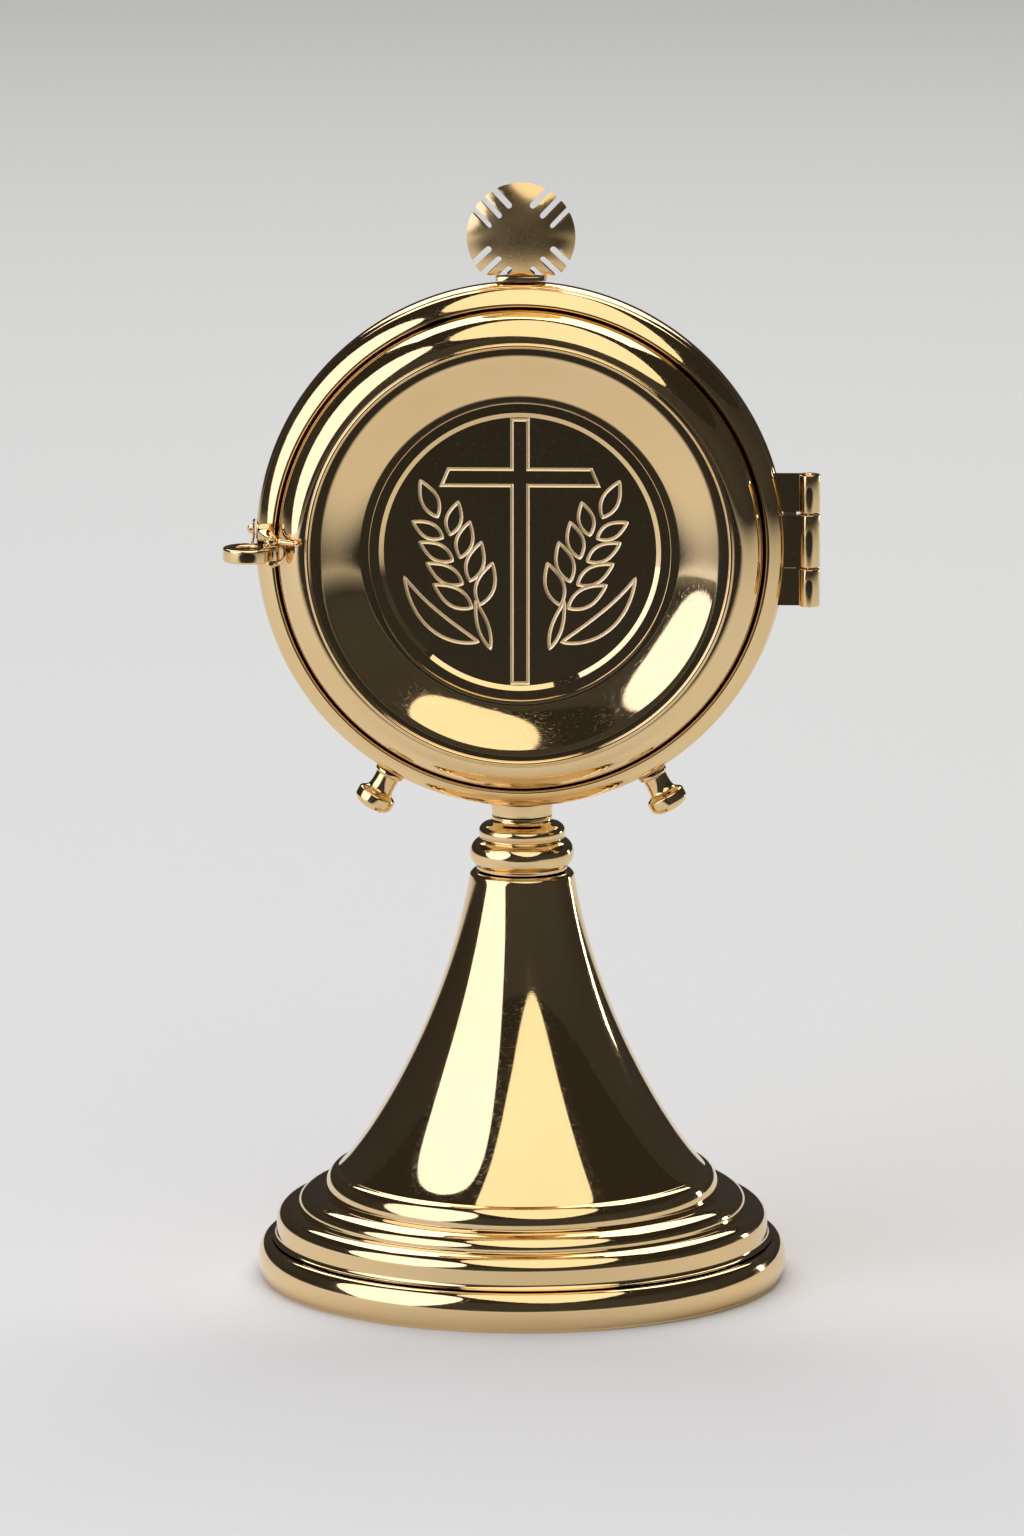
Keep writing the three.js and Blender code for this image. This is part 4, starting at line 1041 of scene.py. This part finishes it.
def bow(start, middle, end):
    """Quadratic curve (1-t)^2 a + 2 (1-t) t b + t^2 c whose points crowd towards its ends,
    t = (1 - cos s) / 2 for an even s."""
    t = ((1 - np.cos(np.linspace(0, np.pi, 24))) / 2)[:, None]
    a, b, c = (np.array(point, float) for point in (start, middle, end))
    return (1 - t) ** 2 * a + 2 * (1 - t) * t * b + t ** 2 * c


def ear_outlines(sign):
    """An ear of wheat beside the cross: grains in pairs along a stem that leans out, each
    pair smaller than the last, one grain at the tip, the bare stem and one long leaf."""
    base, bend, tip = np.array((5.6, -18.4)), np.array((9.4, -6.5)), np.array((16.6, 9.0))
    lines = []
    for number, t in enumerate((0.32, 0.49, 0.65, 0.8)):
        at = (1 - t) ** 2 * base + 2 * (1 - t) * t * bend + t ** 2 * tip
        slope = (1 - t) * (bend - base) + t * (tip - bend)
        heading = np.arctan2(slope[1], slope[0])
        for lean in (-1, 1):
            root = at + np.array([np.sin(heading), -np.cos(heading)]) * lean * 0.8
            turn = heading - lean * 0.66
            reach = 8.2 * (1 - 0.08 * number) * np.array([np.cos(turn), np.sin(turn)])
            lines.append(petal(bow(root, root + reach / 2, root + reach),
                               3.3 * (1 - 0.06 * number)))
    top = (tip - bend) / np.linalg.norm(tip - bend)
    crown = tip - top * 2.6
    lines.append(petal(bow(crown, crown + top * 3.6, crown + top * 7.4), 3.0))
    lines.append(petal(bow(base, (7.0, -14.3), (8.3, -9.7)), 1.9))
    lines.append(petal(bow((8.0, -17.2), (17.5, -15.0), (21.6, -5.2)), 3.4))
    return [line * (sign, 1.0) for line in lines]


def evenly(outline, step):
    """Points of a closed line at even steps along it, with its corners kept."""
    whole = np.vstack([outline, outline[:1]])
    length = np.linalg.norm(np.diff(whole, axis=0), axis=1)
    count = np.maximum(1, np.round(length / step).astype(int))
    which = np.repeat(np.arange(len(length)), count)
    within = (np.arange(len(which)) - np.repeat(np.cumsum(count) - count, count)) / count[which]
    return whole[which] + (whole[which + 1] - whole[which]) * within[:, None]


def groove_sides(outline, half):
    """The two sides of a groove along a closed line: each point moves along its corner's
    bisector by the half width over the cosine of half the corner's turn."""
    before = outline - np.roll(outline, 1, axis=0)
    after = np.roll(outline, -1, axis=0) - outline
    before = before / np.linalg.norm(before, axis=1)[:, None]
    after = after / np.linalg.norm(after, axis=1)[:, None]
    first = np.stack([-before[:, 1], before[:, 0]], axis=1)
    second = np.stack([-after[:, 1], after[:, 0]], axis=1)
    middle = first + second
    middle = middle / np.maximum(np.linalg.norm(middle, axis=1), 0.3)[:, None]
    reach = half / np.clip((middle * second).sum(axis=1), 0.55, 1.0)
    return outline + middle * reach[:, None], outline - middle * reach[:, None]


def distance_to(points, outline):
    """Least distance from each point to a closed line, segment by segment."""
    start = outline
    side = np.roll(outline, -1, axis=0) - outline
    best = np.full(len(points), 1e9)
    for part in np.array_split(np.arange(len(points)), max(1, len(points) // 4000)):
        offset = points[part, None] - start
        t = np.clip((offset * side).sum(-1) / np.maximum((side * side).sum(-1), 1e-12), 0, 1)
        gap = np.linalg.norm(offset - side * t[..., None], axis=-1)
        best[part] = gap.min(axis=1)
    return best


class CUSTODIAL_OT_roundel(bpy.types.Operator):
    """Build the roundel, with the cross and the ears of wheat engraved in its face"""

    bl_idname = "custodial.roundel"
    bl_label = "Roundel"

    def execute(self, context):
        half = sizes().line_width / MM / 2
        deep = sizes().line_depth / MM
        lines = [evenly(line, 0.45) for line in
                 (cross_outline(), *ear_outlines(1), *ear_outlines(-1))]
        steps = sizes().turn_steps
        rim = arc(0, 0, FIELD_RADIUS, FIELD_RADIUS, 0, 360, steps + 1)[:-1]
        banks = [side for line in lines for side in groove_sides(line, half)]
        spread = np.arange(-26.0, 26.01, 1.6)
        across, up = np.meshgrid(spread, spread)
        inner = np.stack([across.ravel(), up.ravel()], axis=1)
        inner = inner[np.linalg.norm(inner, axis=1) < FIELD_RADIUS - 0.8]
        away = np.min([distance_to(inner, line) for line in lines], axis=0)
        inner = inner[away > half * 1.6]
        flat, faces = flat_sheet([rim, *banks, *lines],
                                 lambda p: np.linalg.norm(p, axis=1) < FIELD_RADIUS, inner)
        gap = np.min([distance_to(flat, line) for line in lines], axis=0)
        depth = FIELD_Y + deep * np.clip(1 - gap / half, 0, 1)
        points = np.column_stack([flat[:, 0], depth, flat[:, 1] + CASE_CENTRE])
        middle = flat[faces].mean(axis=1)
        near = np.min([distance_to(middle, line) for line in lines], axis=0)
        engraved = near < half * 0.98
        ring = run((FIELD_RADIUS, FIELD_Y), (FIELD_RADIUS + 0.9, ROUNDEL_Y),
                   (DISH_RADIUS, ROUNDEL_Y), (DISH_RADIUS, ROUNDEL_BACK), (0.0, ROUNDEL_BACK))
        self.join(points, faces, engraved, ring, steps)
        return {"FINISHED"}

    def join(self, points, faces, engraved, ring, steps):
        """Sews the engraved face to the turned slope, edge and back."""
        radius, depth = ring.T
        angle = np.arange(steps) * 2 * np.pi / steps
        grid = np.stack([radius[:, None] * np.cos(angle),
                         np.broadcast_to(depth[:, None], (len(ring), steps)),
                         CASE_CENTRE + radius[:, None] * np.sin(angle)], axis=-1)
        edge_points, edge = lattice(grid, False, (-1,))
        triangles = np.column_stack([faces, faces[:, 2]])
        whole = np.concatenate([points, edge_points])
        all_faces = np.concatenate([triangles, edge + len(points)])
        finish = np.concatenate([engraved, np.zeros(len(edge), bool)])
        gilt = shared("Gilt roundel", plated, "Gilt roundel", deep=0.45, rough=0.03,
                      centre=CASE_CENTRE, axis_lines=0.0004, wave=0.6)
        crease = 14.0
        piece = put_together("roundel", (whole, all_faces), gilt, "door", "door_roundel",
                             crease)
        piece.data.materials.append(shared("Engraved gilt", frosted_line))
        piece.data.polygons.foreach_set("material_index", finish.astype(np.int32))

        def sew(work):
            """Joins the borders and turns all faces outwards."""
            bmesh.ops.remove_doubles(work, verts=work.verts, dist=2e-6)
            bmesh.ops.recalc_face_normals(work, faces=work.faces)

        mended(piece, sew)
        piece.data.set_sharp_from_angle(angle=np.radians(crease))


class CUSTODIAL_OT_catch(bpy.types.Operator):
    """Build the ring catch: its bracket, pin, lever and the stud on the band"""

    bl_idname = "custodial.catch"
    bl_label = "Ring Catch"

    def execute(self, context):
        self.bracket()
        self.lever()
        gilt = small_gilt()
        x, y = PIVOT
        pin = run((0, 139.75), (0.35, 139.75), (0.6, 140.0), (0.6, 145.6), (0.35, 145.85),
                  (0, 145.85))
        turned("catch_rivet", pin, 32, gilt, "door", "catch_pin", ease=0.12, place=(x, y, 0))
        stud = run((0, 50.3), (0.85, 50.3), arc(0, 51.175, 0.85, 0.425, 0, 90, 12))
        turn = np.array([[0, 0, -1], [0, 1, 0], [1, 0, 0]])
        turned("stud", stud, 40, gilt, "case", "catch_stud", ease=0.1, turn=turn,
               place=(0, BAND_Y, STUD_Z))
        return {"FINISHED"}

    def bracket(self):
        """Strip riveted to the outer roll and bent forward into the upper ear, the lower
        ear, the round curl between them and the ball-ended finger over the inner roll."""
        x, y = PIVOT
        high = CATCH_Z + 2.1
        seat_x, seat_y = -48.3, ROLL_CENTRE_Y - ROLL_TUBE - 0.35
        bend = bezier([(seat_x, seat_y, high + 2.4), (seat_x, seat_y - 0.5, high + 0.9),
                       (seat_x + 0.9, seat_y - 2.4, high + 0.7), (x + 1.3, y - 0.2, high)], 26)
        plate = strip(bend, (1, 0, 0), np.linspace(1.3, 1.0, 26), 0.4)
        ears = [moved(lathe(eased(run((0, z - 0.5), (1.35, z - 0.5), (1.35, z + 0.5),
                                      (0, z + 0.5)), 0.25, False), 40), place=(x, y, 0))
                for z in (high, 2 * CATCH_Z - high)]
        angle = np.linspace(-np.pi / 2, np.pi / 2, 32)
        path = np.column_stack([x + 1.05 + 1.6 * np.cos(angle), np.full(32, y - 0.1),
                                CATCH_Z + 2.1 * np.sin(angle)])
        curl = strip(path, (0, 1, 0), 0.45 + 0.6 * np.cos(angle), 0.35)
        finger = ball_ended((x + 1.2, y - 0.2, high), (x + 5.4, y - 2.0, high - 0.25),
                            0.62, 0.4, 0.62)
        rivet = moved(lathe(run((0, -0.3), (0.75, -0.3), arc(0, 0, 0.75, 0.55, 0, 90, 10)),
                            32), [[1, 0, 0], [0, 0, -1], [0, 1, 0]],
                      (seat_x, seat_y - 0.4, high + 1.35))
        put_together("bracket", together(plate, rivet, *ears, curl, finger), small_gilt(),
                     "door", "catch_bracket")

    def lever(self):
        """Finger ring on the pivot, its hub, and the arm back along the case that ends in
        two prongs."""
        x, y = PIVOT
        ring = run((2.0, -1.3), (4.6, -1.3), (4.6, 1.3), (2.0, 1.3))
        ring = eased(ring, 0.42, True, 24.0, 7)
        loop = moved(lathe(ring, 96), place=(x - 4.4, y - 1.4, CATCH_Z - 0.1))
        hub = moved(lathe(eased(run((0.66, -1.45), (1.4, -1.45), (1.4, 1.45), (0.66, 1.45)),
                                0.25, True), 40), place=(x, y, CATCH_Z - 0.1))
        inside, outside = -50.14, -50.6
        gap, prong = 0.95, 0.8
        root = y - 1.4 + 4.6 - 2.9
        arm = block((outside, root, CATCH_Z - 0.9), (inside, BAND_Y - gap, CATCH_Z + 1.0))
        fork = block((outside, BAND_Y - gap - 1.0, STUD_Z - gap - prong),
                     (inside, BAND_Y - gap, STUD_Z + gap + prong))
        tines = [block((outside, BAND_Y - gap - 0.3, low), (inside, BAND_Y + 1.7, low + prong))
                 for low in (STUD_Z - gap - prong, STUD_Z + gap)]
        put_together("lever", together(loop, hub, arm, fork, *tines), small_gilt(), "catch",
                     "catch_lever")


class CUSTODIAL_OT_stage(bpy.types.Operator):
    """Build the paper sweep, the soft lights and the camera"""

    bl_idname = "custodial.stage"
    bl_label = "Stage"

    def execute(self, context):
        self.sweep()
        self.camera(context.scene)
        self.lights(context.scene)
        return {"FINISHED"}

    def sweep(self):
        """Round floor that curves up into a round wall: a straight line, a quarter circle
        and a straight line turned round Z."""
        line = run((0.0, 0.0), (300.0, 0.0), (6500.0, 0.0),
                   arc(6500, 1500, 1500, 1500, -90, 0, 24), (8000.0, 4000.0))
        solid("sweep", lathe(line, 96), pale_paper())

    def camera(self, scene):
        """Camera at the photograph's angle, moved a little sideways in its frame."""
        lens = bpy.data.cameras.new("Camera")
        lens.sensor_fit = "VERTICAL"
        lens.sensor_height = 36.0
        lens.lens = FOCAL_PIXELS / FRAME_HEIGHT * 36.0
        lens.clip_end = 100.0
        lens.shift_x = -(AXIS_PIXEL - FRAME_WIDTH / 2) / FRAME_HEIGHT
        camera = bpy.data.objects.new("Camera", lens)
        turn = np.radians(CAMERA_ROUND)
        camera.location = (CAMERA_AWAY * np.sin(turn), -CAMERA_AWAY * np.cos(turn), CAMERA_UP)
        camera.rotation_euler = (np.radians(90 - CAMERA_DOWN), 0.0, turn)
        scene.collection.objects.link(camera)
        scene.camera = camera

    def lights(self, scene):
        """Overhead softbox in front, a softbox at the left, a narrow strip low at the right
        behind, a large panel over the back, and a dim room."""
        middle = Vector((0.0, 0.0, 0.11))
        for name, azimuth, elevation, distance, width, height, power, colour in (
                ("Overhead softbox", 17, 60, 1.15, 1.2, 1.7, 6.5, (1.0, 0.96, 0.85)),
                ("Left softbox", -59, 24, 1.3, 1.45, 1.55, 10.8, (0.78, 0.81, 1.0)),
                ("Right strip", 128, 1, 1.2, 0.09, 0.22, 0.64, (1.0, 0.97, 0.92)),
                ("Back overhead panel", 180, 54, 2.1, 2.6, 1.7, 36.5, (1.0, 1.0, 0.97))):
            a, e = np.radians(azimuth), np.radians(elevation)
            direction = Vector((np.sin(a) * np.cos(e), -np.cos(a) * np.cos(e), np.sin(e)))
            light = bpy.data.lights.new(name, "AREA")
            light.shape = "ELLIPSE" if "softbox" in name else "RECTANGLE"
            light.size = width
            light.size_y = height
            light.energy = power
            light.color = colour
            lamp = bpy.data.objects.new(name, light)
            lamp.location = middle + direction * distance
            lamp.rotation_euler = direction.to_track_quat("Z", "Y").to_euler()
            scene.collection.objects.link(lamp)
        world = bpy.data.worlds.new("Room")
        world.use_nodes = True
        background = world.node_tree.nodes["Background"]
        background.inputs["Color"].default_value = (1.0, 0.93, 0.85, 1.0)
        background.inputs["Strength"].default_value = 0.03
        scene.world = world
        scene.view_settings.view_transform = "Standard"


class CUSTODIAL_PT_build(bpy.types.Panel):
    """Sidebar panel with the pieces in their order of making"""

    bl_idname = "CUSTODIAL_PT_build"
    bl_label = "Lunette Custodial"
    bl_space_type = "VIEW_3D"
    bl_region_type = "UI"
    bl_category = "Custodial"

    def draw(self, context):
        layout = self.layout
        for operator in OPERATORS:
            layout.operator(operator.bl_idname)
        for group, kind in ((context.scene.custodial_sizes, CustodialSizes),
                            (context.scene.custodial_colours, CustodialColours)):
            box = layout.box()
            for name in kind.__annotations__:
                box.prop(group, name)


OPERATORS = (CUSTODIAL_OT_foot, CUSTODIAL_OT_knop, CUSTODIAL_OT_case, CUSTODIAL_OT_knobs,
             CUSTODIAL_OT_finial, CUSTODIAL_OT_hinge, CUSTODIAL_OT_door,
             CUSTODIAL_OT_roundel, CUSTODIAL_OT_catch, CUSTODIAL_OT_stage)
CLASSES = (CustodialSizes, CustodialColours, *OPERATORS, CUSTODIAL_PT_build)


def register():
    for kind in CLASSES:
        bpy.utils.register_class(kind)
    bpy.types.Scene.custodial_sizes = bpy.props.PointerProperty(type=CustodialSizes)
    bpy.types.Scene.custodial_colours = bpy.props.PointerProperty(type=CustodialColours)


def unregister():
    del bpy.types.Scene.custodial_colours
    del bpy.types.Scene.custodial_sizes
    for kind in reversed(CLASSES):
        bpy.utils.unregister_class(kind)


def main():
    register()
    for operator in OPERATORS:
        group, name = operator.bl_idname.split(".")
        getattr(getattr(bpy.ops, group), name)()


if __name__ == "__main__":
    main()
